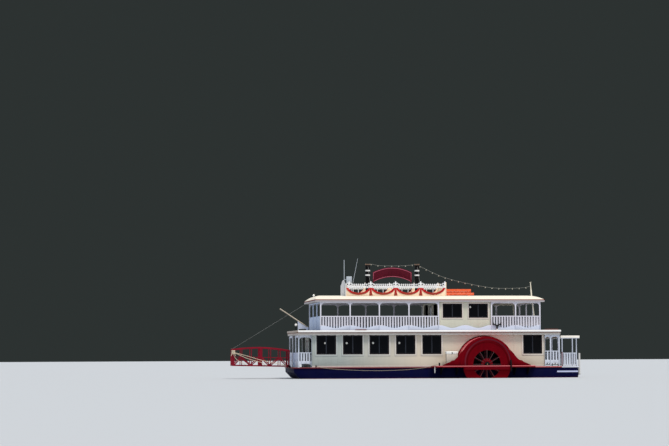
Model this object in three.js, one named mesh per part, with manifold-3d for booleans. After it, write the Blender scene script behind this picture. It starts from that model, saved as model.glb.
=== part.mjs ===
// Side-wheel paddle steamer, full size, in millimetres. +X is aft, +Z is up, port is -Y,
// and the origin is amidships on the centreline at the waterline.
import * as THREE from 'three';
import { mergeVertices } from 'three/addons/utils/BufferGeometryUtils.js';
import Module from 'manifold-3d';

const wasm = await Module();
wasm.setup();

// Levels above the waterline
const KEEL_Z = -750;
const HULL_TOP = 780;
const DECK_TOP = 860;
const UPPER_DECK_LOW = 3380;
const UPPER_DECK_STEP = 3520;
const UPPER_DECK_TOP = 3680;
const ROOF_LOW = 5850;
const ROOF_EAVE = 6020;
const ROOF_CROWN = 6420;

// Places along the boat
const SALOON_BOW = -9600;
const SALOON_STERN = 8560;
const UPPER_DECK_BOW = -10760;
const UPPER_DECK_STERN = 9820;
const UPPER_POSTS_FORE = [-8950, -6680, -4420, -2120, 190];
const UPPER_POSTS_AFT = [4350, 6245, 8170];
const ROOF_BOW = -9370;
const ROOF_STERN = 8525;

// Half widths
const SALOON_HALF = 3150;
const UPPER_DECK_HALF = 3450;
const CABIN_HALF = 3250;
const RAIL_Y = 3300;
const ROOF_HALF = 3450;
const DECK_OVERHANG = 50;

// Paddle wheels
const WHEEL_X = 3750;
const WHEEL_Z = 1050;
const WHEEL_R = 1550;
const WHEEL_IN = 3530;
const WHEEL_OUT = 4110;
const BOX_R = 2120;
const FACE_IN = 4196;
const FACE_OUT = 4276;
const GUARD_OUT = 4450;
const GUARD_LOW = 820;
const GUARD_TOP = 950;
const SHAFT_R = 40;

const WALL = 80;
const GAP = 0.3;

const COLOURS = {
  navy: [0x0b0a1e, 0.45, 0.1],
  sheer: [0x6b1a22, 0.5, 0.1],
  cream: [0xe9dfc2, 0.55, 0],
  white: [0xeef0f2, 0.5, 0],
  roof: [0xf1e9d4, 0.6, 0],
  red: [0x8a1620, 0.4, 0.1],
  black: [0x121214, 0.4, 0.2],
  glass: [0x14171c, 0.12, 0],
  timber: [0x4a2e1e, 0.6, 0],
  orange: [0xe2602c, 0.7, 0],
  iron: [0x2a2b2e, 0.55, 0.6],
  rope: [0xcdbf9d, 0.9, 0],
};

const part = new THREE.Group();

// Turns a closed three.js geometry into a solid
function solid(geometry) {
  const bare = geometry.clone();
  bare.deleteAttribute('normal');
  bare.deleteAttribute('uv');
  const merged = mergeVertices(bare, 1e-3);
  const vertProperties = new Float32Array(merged.attributes.position.array);
  const triVerts = new Uint32Array(merged.index.array);
  return new wasm.Manifold(new wasm.Mesh({ numProp: 3, vertProperties, triVerts }));
}

// Puts a solid into the model as one named sub-part
function place(name, body, colour) {
  const { vertProperties, triVerts } = body.getMesh();
  const geometry = new THREE.BufferGeometry();
  geometry.setAttribute('position', new THREE.BufferAttribute(new Float32Array(vertProperties), 3));
  geometry.setIndex(new THREE.BufferAttribute(new Uint32Array(triVerts), 1));
  geometry.computeVertexNormals();
  const [color, roughness, metalness] = COLOURS[colour];
  const mesh = new THREE.Mesh(geometry, new THREE.MeshStandardMaterial({ color, roughness, metalness }));
  mesh.name = name;
  part.add(mesh);
}

function join(...bodies) {
  return bodies.flat().reduce((whole, body) => whole.add(body));
}

function box(x0, x1, y0, y1, z0, z1) {
  const geometry = new THREE.BoxGeometry(x1 - x0, y1 - y0, z1 - z0);
  return solid(geometry.translate((x0 + x1) / 2, (y0 + y1) / 2, (z0 + z1) / 2));
}

// A shape drawn flat and given a thickness, with its holes cut through
function thickened(shape, depth, curveSegments) {
  const settings = { depth, bevelEnabled: false, curveSegments };
  const body = solid(new THREE.ExtrudeGeometry(new THREE.Shape(shape.getPoints(curveSegments)), settings));
  if (shape.holes.length === 0) return body;
  const through = { ...settings, depth: depth + 2 };
  const cuts = shape.holes.map((hole) =>
    solid(new THREE.ExtrudeGeometry(new THREE.Shape(hole.getPoints(curveSegments)), through)));
  return body.subtract(join(cuts).translate([0, 0, -1]));
}

// A flat board drawn in x and z, standing between two values of y
function boardXZ(shape, y0, y1, curveSegments = 8) {
  return thickened(shape, y1 - y0, curveSegments).rotate([90, 0, 0]).translate([0, y1, 0]);
}

// A flat board drawn in y and z, standing between two values of x
function boardYZ(shape, x0, x1, curveSegments = 8) {
  return thickened(shape, x1 - x0, curveSegments).rotate([90, 0, 90]).translate([x0, 0, 0]);
}

// A plate drawn in x and y, lying between two values of z
function plate(shape, z0, z1, curveSegments = 8) {
  return thickened(shape, z1 - z0, curveSegments).translate([0, 0, z0]);
}

function outline(points) {
  return new THREE.Shape(points.map(([a, b]) => new THREE.Vector2(a, b)));
}

function rectangle(a0, a1, b0, b1) {
  return outline([[a0, b0], [a1, b0], [a1, b1], [a0, b1]]);
}

// A round bar between two points
function rod(from, to, radius, sides = 8) {
  const a = new THREE.Vector3(...from);
  const b = new THREE.Vector3(...to);
  const geometry = new THREE.CylinderGeometry(radius, radius, a.distanceTo(b), sides);
  const turn = new THREE.Quaternion().setFromUnitVectors(
    new THREE.Vector3(0, 1, 0), b.clone().sub(a).normalize());
  geometry.applyQuaternion(turn);
  const middle = a.add(b).multiplyScalar(0.5);
  return solid(geometry.translate(middle.x, middle.y, middle.z));
}

// A square bar between two points, with its height upright
function bar(from, to, width, height) {
  const a = new THREE.Vector3(...from);
  const b = new THREE.Vector3(...to);
  const along = b.clone().sub(a);
  const length = along.length();
  along.normalize();
  const side = new THREE.Vector3(0, 0, 1).cross(along);
  if (side.length() < 0.01) side.set(0, 1, 0);
  side.normalize();
  const up = along.clone().cross(side);
  const geometry = new THREE.BoxGeometry(length, width, height);
  geometry.applyMatrix4(new THREE.Matrix4().makeBasis(along, side, up));
  const middle = a.add(b).multiplyScalar(0.5);
  return solid(geometry.translate(middle.x, middle.y, middle.z));
}

// The same solid on the other side of the boat
function mirrored(body) {
  return body.mirror([0, 1, 0]);
}

function placeBothSides(name, portBody, colour) {
  place(`${name}_port`, portBody, colour);
  place(`${name}_starboard`, mirrored(portBody), colour);
}

// A solid trimmed underneath so that it sits on another with a hair of clearance
function seated(body, on) {
  return body.subtract(on.translate([0, 0, GAP]));
}

// Stations of the hull from bow to stern: place, half beam, lowest level, bilge radius
const STATIONS = [
  { x: -10950, half: 2930, low: 480, bilge: 120 },
  { x: -10550, half: 3020, low: 60, bilge: 250 },
  { x: -9600, half: 3200, low: -420, bilge: 450 },
  { x: -8000, half: 3350, low: -640, bilge: 600 },
  { x: -6000, half: 3400, low: -680, bilge: 650 },
  { x: 7000, half: 3400, low: -680, bilge: 650 },
  { x: 8800, half: 3390, low: -560, bilge: 600 },
  { x: 9900, half: 3350, low: -380, bilge: 500 },
  { x: 10700, half: 3260, low: -220, bilge: 400 },
  { x: 11100, half: 3120, low: -120, bilge: 300 },
  { x: 11300, half: 2880, low: -40, bilge: 240 },
];

const BILGE_STEPS = 5;

function hullSection({ x, half, low, bilge }) {
  const starboard = [[half, HULL_TOP]];
  for (let step = 0; step <= BILGE_STEPS; step += 1) {
    const angle = (step / BILGE_STEPS) * Math.PI / 2;
    starboard.push([
      half - bilge + bilge * Math.cos(angle),
      low + bilge - bilge * Math.sin(angle),
    ]);
  }
  const port = starboard.map(([y, z]) => [-y, z]).reverse();
  return [...starboard, ...port].map(([y, z]) => [x, y, z]);
}

function loft(sections) {
  const count = sections[0].length;
  const positions = sections.flat(2);
  const index = [];
  for (let s = 0; s < sections.length - 1; s += 1) {
    for (let p = 0; p < count; p += 1) {
      const a = s * count + p;
      const b = s * count + (p + 1) % count;
      index.push(a, a + count, b, b, a + count, b + count);
    }
  }
  const last = (sections.length - 1) * count;
  for (let p = 1; p < count - 1; p += 1) {
    index.push(0, p, p + 1);
    index.push(last, last + p + 1, last + p);
  }
  const geometry = new THREE.BufferGeometry();
  geometry.setAttribute('position', new THREE.Float32BufferAttribute(positions, 3));
  geometry.setIndex(index);
  return solid(geometry);
}

// Hull with its bar keel, skeg and rudder trunk
const RUDDER_X = 10250;
const RUDDER_TOP = -320;
const KEEL_HALF = 60;
const TRUNK_R = 90;

function buildHull() {
  const shell = loft(STATIONS.map(hullSection));
  const keel = box(-7000, 7600, -KEEL_HALF, KEEL_HALF, KEEL_Z, -600);
  const skeg = boardXZ(outline([[7500, KEEL_Z], [9950, KEEL_Z], [9950, -250], [7500, -450]]),
    -KEEL_HALF, KEEL_HALF);
  const trunk = rod([RUDDER_X, 0, RUDDER_TOP], [RUDDER_X, 0, 0], TRUNK_R, 16);
  return join(shell, keel, skeg, trunk);
}

// Main deck: its edge is the red rubbing strip
const deckEdge = [
  ...STATIONS.map(({ x, half }) => [x, -half - DECK_OVERHANG]),
  ...STATIONS.map(({ x, half }) => [x, half + DECK_OVERHANG]).reverse(),
];
deckEdge[0][0] -= DECK_OVERHANG;
deckEdge[deckEdge.length - 1][0] -= DECK_OVERHANG;
deckEdge[STATIONS.length - 1][0] += DECK_OVERHANG;
deckEdge[STATIONS.length][0] += DECK_OVERHANG;

const GANGWAY_HALF = 750;
const HINGE_X = -11090;
const HINGE_Z = 960;
const CLEAT_X = -9300;
const CLEAT_Y = 3200;
const CLEAT_R = 45;
const CLEAT_TOP = 1010;

function buildMainDeck() {
  const deck = plate(outline(deckEdge), HULL_TOP + GAP, DECK_TOP);
  const parts = [deck];
  for (const side of [-1, 1]) {
    const y = side * (GANGWAY_HALF + 60);
    const lug = outline([[-10930, 790], [HINGE_X - 70, 880], [HINGE_X - 70, 1040],
      [HINGE_X + 70, 1040], [-10930, 880]]);
    parts.push(boardXZ(lug, y - 25, y + 25));
  }
  parts.push(rod([CLEAT_X, -CLEAT_Y, DECK_TOP - 20], [CLEAT_X, -CLEAT_Y, CLEAT_TOP], CLEAT_R, 12));
  parts.push(rod([CLEAT_X, CLEAT_Y, DECK_TOP - 20], [CLEAT_X, CLEAT_Y, CLEAT_TOP], CLEAT_R, 12));
  return join(parts);
}

function buildRudder() {
  const stock = rod([RUDDER_X, 0, RUDDER_TOP - GAP], [RUDDER_X, 0, -720], 40, 12);
  const blade = box(RUDDER_X - 170, RUDDER_X + 700, -30, 30, -700, -360);
  return join(stock, blade);
}

// Sponson: the guard platform round each paddle wheel, on knees from the hull side, with an
// apron board hanging in front of the wheel
const SPONSON_BOW = -150;
const SPONSON_STERN = 7450;
const SPONSON_TAPER = 300;
const SLOT_HALF = 1895;
const SLOT = [WHEEL_X - SLOT_HALF, WHEEL_X + SLOT_HALF];
const SLOT_RIM = 40;
const KNEES_X = [300, 1500, 6050, 7100];
const KNEE_FOOT = 220;
const APRON_X = [1950, 5650];
const APRON_LOW = 640;
const BOLLARDS = [{ x: 20, top: 1190 }, { x: 5590, top: 1370 }];
const BOLLARD_Y = -4375;
const BOLLARD_R = 65;

function buildSponsonPort() {
  const hullSide = -3400 - GAP;
  const deckSide = hullSide - DECK_OVERHANG;
  const shape = outline([[SPONSON_BOW - SPONSON_TAPER, deckSide], [SPONSON_BOW, -GUARD_OUT],
    [SPONSON_STERN, -GUARD_OUT], [SPONSON_STERN + SPONSON_TAPER, deckSide]]);
  const slot = box(...SLOT, -FACE_OUT - 5, deckSide - SLOT_RIM, 0, 2000);
  const parts = [plate(shape, GUARD_LOW, GUARD_TOP).subtract(slot)];
  const notch = HULL_TOP - 20;
  const kneeTop = GUARD_LOW + 40;
  const knee = outline([[hullSide, notch], [hullSide, KNEE_FOOT], [hullSide - 100, KNEE_FOOT],
    [-GUARD_OUT + 60, GUARD_LOW], [-GUARD_OUT + 60, kneeTop], [deckSide - 1, kneeTop],
    [deckSide - 1, notch]]);
  for (const x of KNEES_X) parts.push(boardYZ(knee, x - 30, x + 30));
  for (const { x, top } of BOLLARDS) {
    parts.push(rod([x, BOLLARD_Y, GUARD_TOP - 20], [x, BOLLARD_Y, top], BOLLARD_R, 12));
  }
  parts.push(box(...APRON_X, -GUARD_OUT, -GUARD_OUT + 50, APRON_LOW, GUARD_LOW + 1));
  return join(parts);
}

// Saloon windows: start and end along the boat
const SALOON_WINDOWS = [
  [-9260, -7750], [-7220, -5700], [-5170, -3650], [-3110, -1610], [-1060, 430], [6865, 8365],
];
const SALOON_SILL = 1840;
const SALOON_HEAD = 3310;
const CABIN_WINDOWS = [[525, 2050], [2565, 4080]];
const CABIN_SILL = 4620;
const CABIN_HEAD = 5720;

function sideWall(x0, x1, z0, z1, half, windows, sill, head) {
  const shape = rectangle(x0, x1, z0, z1);
  for (const [start, end] of windows) shape.holes.push(rectangle(start, end, sill, head));
  return boardXZ(shape, -half, -half + WALL);
}

// Glass with its frames: a long pane behind the wall, and frames standing in each opening
const FRAME = 55;
const PANE = 20;

function glazing(x0, x1, half, windows, sill, head) {
  const back = -half + WALL + GAP;
  const parts = [box(x0, x1, back, back + PANE, sill - 80, head + 60)];
  for (const [start, end] of windows) {
    const frame = rectangle(start + GAP, end - GAP, sill + GAP, head - GAP);
    const middle = (start + end) / 2;
    const low = sill + FRAME;
    const high = head - FRAME;
    frame.holes.push(rectangle(start + FRAME, middle - FRAME / 2, low, high));
    frame.holes.push(rectangle(middle + FRAME / 2, end - FRAME, low, high));
    parts.push(boardXZ(frame, -half + 20, back + 5));
  }
  return join(parts);
}

function saloonPortWall() {
  const wall = sideWall(SALOON_BOW, SALOON_STERN, DECK_TOP + GAP, UPPER_DECK_LOW - GAP,
    SALOON_HALF, SALOON_WINDOWS, SALOON_SILL, SALOON_HEAD);
  const shaftHole = rod([WHEEL_X, -SALOON_HALF - 50, WHEEL_Z], [WHEEL_X, -SALOON_HALF + 150, WHEEL_Z],
    SHAFT_R + 15, 16);
  return wall.subtract(shaftHole);
}

// Doors turn on pins at one upright edge
const DOOR_THICK = 40;
const PIN_OFFSET = 33;
const PIN_R = 15;
const CLEAR = 5;

// A door leaf in a wall across the boat: hinge at y0, the other edge at y1
function crossDoor(x, y0, y1, z0, z1) {
  const towards = Math.sign(y1 - y0);
  const pinY = y0 + towards * PIN_OFFSET;
  const start = pinY - towards * 20;
  const end = y1 - towards * CLEAR;
  const leaf = rectangle(Math.min(start, end), Math.max(start, end), z0 + CLEAR, z1 - CLEAR);
  const low = z0 + 0.42 * (z1 - z0);
  const near = Math.min(start, end) + 110;
  const far = Math.max(start, end) - 110;
  const body = boardYZ(leaf, x - DOOR_THICK / 2, x + DOOR_THICK / 2);
  const recess = box(x - DOOR_THICK, x - 5, near, far, low, z1 - 140);
  const inside = box(x + 5, x + DOOR_THICK, near, far, low, z1 - 140);
  const pin = rod([x, pinY, z0 + GAP], [x, pinY, z1 - GAP], PIN_R, 12);
  return body.subtract(recess).subtract(inside).add(pin);
}

const SALOON_DOOR_HALF = 780;
const SALOON_DOOR_HEAD = 2950;
const AFT_DOOR = [-450, 450];
const CABIN_DOOR = [-400, 400];
const CABIN_DOOR_HEAD = 5600;

// A wall with a doorway that reaches its foot
function doorWall(x0, x1, half, z0, z1, door, openings) {
  const [y0, y1, head] = door;
  const shape = outline([[-half, z0], [y0, z0], [y0, head], [y1, head], [y1, z0],
    [half, z0], [half, z1], [-half, z1]]);
  for (const [a, b, low, high] of openings) shape.holes.push(rectangle(a, b, low, high));
  return boardYZ(shape, x0, x1);
}

// A run of posts, flat balusters, wavy foot board and round-cornered openings
const RAIL_TOP = 4775;
const RAIL_LOW = 4700;
const WAVE_HIGH = 4070;
const WAVE_LOW = 3850;
const BALUSTER = 105;
const POST = 90;
const OPENING_HEAD = 5760;
const CORNER = 260;

function waveLevel(share) {
  return (WAVE_HIGH + WAVE_LOW) / 2 + ((WAVE_HIGH - WAVE_LOW) / 2) * Math.cos(2 * Math.PI * share);
}

function roundedOpening(a0, a1, b0, b1, corner) {
  const path = new THREE.Shape();
  path.moveTo(a0, b0);
  path.lineTo(a1, b0);
  path.lineTo(a1, b1 - corner);
  path.absarc(a1 - corner, b1 - corner, corner, 0, Math.PI / 2, false);
  path.lineTo(a0 + corner, b1);
  path.absarc(a0 + corner, b1 - corner, corner, Math.PI / 2, Math.PI, false);
  path.closePath();
  return path;
}

// Slots between the balusters of one bay; footLevel gives the top of the foot board
function balusterSlots(start, end, pitchTarget, low, high, footLevel) {
  const clear = end - start;
  const count = Math.round(clear / pitchTarget);
  const slot = (clear - (count - 1) * BALUSTER) / count;
  const slots = [];
  for (let n = 0; n < count; n += 1) {
    const a0 = start + n * (slot + BALUSTER);
    const a1 = a0 + slot;
    const z0 = footLevel ? footLevel((a0 - start) / clear) : low;
    const z1 = footLevel ? footLevel((a1 - start) / clear) : low;
    slots.push(outline([[a0, z0], [a1, z1], [a1, high], [a0, high]]));
  }
  return slots;
}

const BALUSTER_PITCH = 207;

function addUpperBays(shape, posts) {
  for (let n = 0; n < posts.length - 1; n += 1) {
    const start = posts[n] + POST / 2;
    const end = posts[n + 1] - POST / 2;
    shape.holes.push(roundedOpening(start, end, RAIL_TOP, OPENING_HEAD, CORNER));
    shape.holes.push(...balusterSlots(start, end, BALUSTER_PITCH, 0, RAIL_LOW, waveLevel));
  }
}

function upperRailPort() {
  const foot = UPPER_DECK_TOP + GAP;
  const head = ROOF_LOW - GAP;
  const bow = UPPER_POSTS_FORE[0] - POST / 2;
  const foreEnd = UPPER_POSTS_FORE[4] + POST / 2;
  const aftStart = UPPER_POSTS_AFT[0] - POST / 2;
  const stern = UPPER_POSTS_AFT[2] + POST / 2;
  const points = [[bow, foot], [stern, foot], [stern, head], [aftStart, head]];
  const steps = 24;
  for (let n = 0; n <= steps; n += 1) {
    const share = n / steps;
    points.push([aftStart + (foreEnd - aftStart) * share, waveLevel(2 * share)]);
  }
  points.push([foreEnd, head], [bow, head]);
  const shape = outline(points);
  addUpperBays(shape, UPPER_POSTS_FORE);
  addUpperBays(shape, UPPER_POSTS_AFT);
  const board = boardXZ(shape, -RAIL_Y - 40, -RAIL_Y, 3);
  const posts = [...UPPER_POSTS_FORE, ...UPPER_POSTS_AFT].map((x) =>
    box(x - POST / 2, x + POST / 2, -RAIL_Y - 65, -RAIL_Y + 25, foot, head));
  return join(board, posts);
}

// Rails across the upper deck; the front one is a solid panel, the aft one has balusters
const CROSS_POSTS = [-3300, -1100, 1100, 3300];

function upperCrossRail(x, solidPanel) {
  const foot = UPPER_DECK_TOP + GAP;
  const head = ROOF_LOW - GAP;
  const half = RAIL_Y - 25 - GAP;
  const shape = rectangle(-half, half, foot, head);
  for (let n = 0; n < 3; n += 1) {
    const start = Math.max(CROSS_POSTS[n] + POST / 2, -half + 40);
    const end = Math.min(CROSS_POSTS[n + 1] - POST / 2, half - 40);
    shape.holes.push(roundedOpening(start, end, RAIL_TOP, OPENING_HEAD, CORNER));
    if (!solidPanel) {
      shape.holes.push(...balusterSlots(start, end, BALUSTER_PITCH, 0, RAIL_LOW, waveLevel));
    }
  }
  const board = boardYZ(shape, x - 20, x + 20, 3);
  const posts = [CROSS_POSTS[1], CROSS_POSTS[2]].map((y) =>
    box(x - POST / 2, x + POST / 2, y - POST / 2, y + POST / 2, foot, head));
  return join(board, posts);
}

// Upper deck: a white edge over a recessed strip
function buildUpperDeck() {
  const inset = 45;
  const top = box(UPPER_DECK_BOW, UPPER_DECK_STERN, -UPPER_DECK_HALF, UPPER_DECK_HALF,
    UPPER_DECK_STEP, UPPER_DECK_TOP);
  const strip = box(UPPER_DECK_BOW + inset, UPPER_DECK_STERN - inset,
    -UPPER_DECK_HALF + inset, UPPER_DECK_HALF - inset, UPPER_DECK_LOW, UPPER_DECK_STEP + 1);
  return join(top, strip);
}

// Scalloped valance hanging below the edge of the upper deck
const VALANCE_LOW = 3300;
const SCALLOP = 460;
const SCALLOP_DEPTH = 40;
const SCALLOP_STEPS = 3;

function scallopedEdge(start, end) {
  const count = Math.round((end - start) / SCALLOP);
  const pitch = (end - start) / count;
  const points = [];
  for (let n = 0; n < count; n += 1) {
    for (let step = 0; step < SCALLOP_STEPS; step += 1) {
      const share = step / SCALLOP_STEPS;
      points.push([start + (n + share) * pitch,
        VALANCE_LOW + SCALLOP_DEPTH * (1 - Math.sin(Math.PI * share))]);
    }
  }
  points.push([end, VALANCE_LOW + SCALLOP_DEPTH]);
  return points;
}

// The valance hangs from a ring of batten a little thicker than its boards
function buildValance() {
  const head = UPPER_DECK_LOW - GAP;
  const battenLow = head - 50;
  const boardTop = head - 25;
  const x0 = UPPER_DECK_BOW + 55;
  const x1 = UPPER_DECK_STERN - 55;
  const half = UPPER_DECK_HALF - 55;
  const thick = 26;
  const batten = rectangle(x0, x1, -half, half);
  batten.holes.push(rectangle(x0 + thick, x1 - thick, -half + thick, half - thick));
  const sideEnds = [x0 + 4, x1 - 4];
  const acrossHalf = half - 12;
  const side = outline([...scallopedEdge(...sideEnds), [sideEnds[1], boardTop], [sideEnds[0], boardTop]]);
  const across = outline([...scallopedEdge(-acrossHalf, acrossHalf),
    [acrossHalf, boardTop + 7], [-acrossHalf, boardTop + 7]]);
  return join(
    plate(batten, battenLow, head),
    boardXZ(side, -half + 3, -half + 21),
    boardXZ(side, half - 21, half - 3),
    boardYZ(across, x0 + 3, x0 + 21),
    boardYZ(across, x1 - 21, x1 - 3));
}

// Porch rails: posts, balusters, a board over arched feet
const BOW_PORCH_RAIL = 2010;
const AFT_PORCH_RAIL = 2070;
const PORCH_RAIL_DEEP = 60;
const PORCH_BOARD_TOP = 1350;
const PORCH_BOARD_LOW = 1150;
const PORCH_HEAD = 3150;
const PORCH_PITCH = 190;

function archedFoot(a0, a1, top, rise) {
  const path = new THREE.Shape();
  const foot = DECK_TOP - 100;
  const spring = top - rise;
  path.moveTo(a0, foot);
  path.lineTo(a1, foot);
  path.lineTo(a1, spring);
  path.absellipse((a0 + a1) / 2, spring, (a1 - a0) / 2, rise, 0, Math.PI, false);
  path.closePath();
  return path;
}

function porchShape(posts, end, railTop) {
  const shape = rectangle(posts[0] - POST / 2, end, DECK_TOP + GAP, UPPER_DECK_LOW - GAP);
  for (let n = 0; n < posts.length - 1; n += 1) {
    const a0 = posts[n] + POST / 2;
    const a1 = posts[n + 1] - POST / 2;
    const corner = Math.min(220, (a1 - a0) / 2 - 5);
    shape.holes.push(roundedOpening(a0, a1, railTop, PORCH_HEAD, corner));
    shape.holes.push(...balusterSlots(a0, a1, PORCH_PITCH, PORCH_BOARD_TOP, railTop - PORCH_RAIL_DEEP));
  }
  return shape;
}

const BOW_RAIL_X = -10590;
const BOW_POST_Y = 2900;
const GATE_POST_Y = 970;

function bowRailPort() {
  const foot = DECK_TOP + GAP;
  const head = UPPER_DECK_LOW - GAP;
  const end = SALOON_BOW - GAP;
  const side = boardXZ(porchShape([BOW_RAIL_X, end - 20 + POST / 2], end, BOW_PORCH_RAIL),
    -BOW_POST_Y - 20, -BOW_POST_Y + 20, 4)
    .subtract(boardXZ(archedFoot(BOW_RAIL_X + 60, end - 60, PORCH_BOARD_LOW, 110), -3000, -2800, 6));
  const front = rectangle(-BOW_POST_Y, -GATE_POST_Y, foot, head);
  const a0 = -BOW_POST_Y + POST / 2;
  const a1 = -GATE_POST_Y - POST / 2;
  front.holes.push(roundedOpening(a0, a1, BOW_PORCH_RAIL, PORCH_HEAD, 220));
  front.holes.push(...balusterSlots(a0, a1, BALUSTER_PITCH, PORCH_BOARD_TOP,
    BOW_PORCH_RAIL - PORCH_RAIL_DEEP));
  const parts = [side, boardYZ(front, BOW_RAIL_X - 20, BOW_RAIL_X + 20, 4)];
  for (const y of [-BOW_POST_Y, -GATE_POST_Y]) {
    parts.push(box(BOW_RAIL_X - POST / 2, BOW_RAIL_X + POST / 2, y - POST / 2, y + POST / 2, foot, head));
  }
  return join(parts);
}

const AFT_PORCH_POSTS = [9015, 9690];
const AFT_PORCH_Y = 3230;

function aftRailPort() {
  const start = SALOON_STERN + GAP;
  const end = AFT_PORCH_POSTS[1] + POST / 2;
  const foot = DECK_TOP + GAP;
  const head = UPPER_DECK_LOW - GAP;
  const shape = porchShape([start - POST / 2 + 20, ...AFT_PORCH_POSTS], end, AFT_PORCH_RAIL);
  const board = boardXZ(shape, -AFT_PORCH_Y - 20, -AFT_PORCH_Y + 20, 4);
  const trimmed = board.intersect(box(start, end, -4000, 0, 0, 4000));
  const feet = [
    boardXZ(archedFoot(start + 50, AFT_PORCH_POSTS[0] - 50, PORCH_BOARD_LOW, 150), -3300, -3100, 6),
    boardXZ(archedFoot(AFT_PORCH_POSTS[0] + 50, AFT_PORCH_POSTS[1] - 50, PORCH_BOARD_LOW, 150),
      -3300, -3100, 6),
  ];
  const posts = AFT_PORCH_POSTS.map((x) =>
    box(x - POST / 2, x + POST / 2, -AFT_PORCH_Y - POST / 2, -AFT_PORCH_Y + POST / 2, foot, head));
  return join(trimmed.subtract(feet[0]).subtract(feet[1]), posts);
}

// Stern: pickets round the deck between corner posts, which carry the canopy
const STERN_POSTS = [[9960, -3120], [10780, -3120], [11190, -2780]];
const STERN_POST_R = 45;
const PICKETS_LOW = 930;
const PICKETS_TOP = 1910;
const PICKETS_FOOT = 1000;
const PICKETS_HEAD = 1850;
const PICKET_PITCH = 180;
const CANOPY_LOW = 3030;
const CANOPY_TOP = 3235;
const CANOPY_STERN = 11500;
const CANOPY_HALF = 3180;
const CANOPY_CORNER = 650;

// A picket board that runs from the middle of one post to the middle of the next
function picketBoard([x0, y0], [x1, y1]) {
  const length = Math.hypot(x1 - x0, y1 - y0);
  const shape = rectangle(0, length, PICKETS_LOW, PICKETS_TOP);
  shape.holes.push(...balusterSlots(60, length - 60, PICKET_PITCH, PICKETS_FOOT, PICKETS_HEAD));
  const turn = (Math.atan2(y1 - y0, x1 - x0) * 180) / Math.PI;
  return boardXZ(shape, -10, 10).rotate([0, 0, turn]).translate([x0, y0, 0]);
}

function buildCanopy() {
  const x0 = UPPER_DECK_STERN + 30;
  const cornerX = CANOPY_STERN - CANOPY_CORNER;
  const cornerY = CANOPY_HALF - CANOPY_CORNER;
  const shape = new THREE.Shape();
  shape.moveTo(x0, -CANOPY_HALF);
  shape.lineTo(cornerX, -CANOPY_HALF);
  shape.absarc(cornerX, -cornerY, CANOPY_CORNER, -Math.PI / 2, 0, false);
  shape.lineTo(CANOPY_STERN, cornerY);
  shape.absarc(cornerX, cornerY, CANOPY_CORNER, 0, Math.PI / 2, false);
  shape.lineTo(x0, CANOPY_HALF);
  shape.closePath();
  return plate(shape, CANOPY_LOW, CANOPY_TOP, 5);
}

function buildSternPorch() {
  const all = [...STERN_POSTS, ...STERN_POSTS.map(([x, y]) => [x, -y]).reverse()];
  const parts = all.map(([x, y]) =>
    rod([x, y, DECK_TOP + GAP], [x, y, CANOPY_LOW + 20], STERN_POST_R, 6));
  for (let n = 0; n < all.length - 1; n += 1) parts.push(picketBoard(all[n], all[n + 1]));
  return join(parts, buildCanopy());
}

// Round fenders stand against the stern edge of the deck, fuller at the foot
const FENDER_R = 75;
const FENDER_BULGE = 105;
const FENDER_X = 11350 + FENDER_R + GAP;
const FENDER_Y = -2750;

function sternFenderPort() {
  return join(
    rod([FENDER_X, FENDER_Y, 330], [FENDER_X, FENDER_Y, 1880], FENDER_R, 12),
    rod([FENDER_X, FENDER_Y, 200], [FENDER_X, FENDER_Y, 340], FENDER_BULGE, 12));
}

// Roof: cambered across the boat, with both ends turned down over this length
const ROOF_TURN = 900;

function buildRoof() {
  const across = new THREE.Shape();
  across.moveTo(-ROOF_HALF, ROOF_LOW);
  across.lineTo(ROOF_HALF, ROOF_LOW);
  across.lineTo(ROOF_HALF, ROOF_EAVE);
  across.quadraticCurveTo(ROOF_HALF * 0.5, ROOF_CROWN, 0, ROOF_CROWN);
  across.quadraticCurveTo(-ROOF_HALF * 0.5, ROOF_CROWN, -ROOF_HALF, ROOF_EAVE);
  across.closePath();
  const along = new THREE.Shape();
  const high = ROOF_CROWN + 1;
  along.moveTo(ROOF_BOW, ROOF_LOW);
  along.lineTo(ROOF_STERN, ROOF_LOW);
  along.lineTo(ROOF_STERN, ROOF_EAVE);
  along.quadraticCurveTo(ROOF_STERN - ROOF_TURN * 0.25, ROOF_CROWN, ROOF_STERN - ROOF_TURN, high);
  along.lineTo(ROOF_BOW + ROOF_TURN, high);
  along.quadraticCurveTo(ROOF_BOW + ROOF_TURN * 0.25, ROOF_CROWN, ROOF_BOW, ROOF_EAVE);
  along.closePath();
  return boardYZ(across, ROOF_BOW, ROOF_STERN, 10).intersect(boardXZ(along, -ROOF_HALF, ROOF_HALF, 8));
}

// Parapet on the roof: boards with hanging arches, a pointed cresting and trefoil finials
const PARAPET_POSTS = [-6700, -4770, -2810, -830, 1140];
const PARAPET_HALF = 1400;
const PARAPET_BOARD = 30;
const PARAPET_TOP = 7160;
const CREST_TOP = 7270;
const ARCH_HALF = 860;
const ARCH_DEPTH = 570;
const ARCH_TOP = 7130;
const CREST_POINTS = 5;
const FINIAL = [[100, 7230], [175, 7290], [165, 7380], [85, 7400], [60, 7460]];
const FINIAL_TOP = 7490;
const END_POST_TOP = 7430;

function hangingArch(middle, half, depth, top) {
  const path = new THREE.Shape();
  path.moveTo(middle - half, top);
  path.absellipse(middle, top, half, depth, Math.PI, 2 * Math.PI, false);
  path.closePath();
  return path;
}

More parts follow.
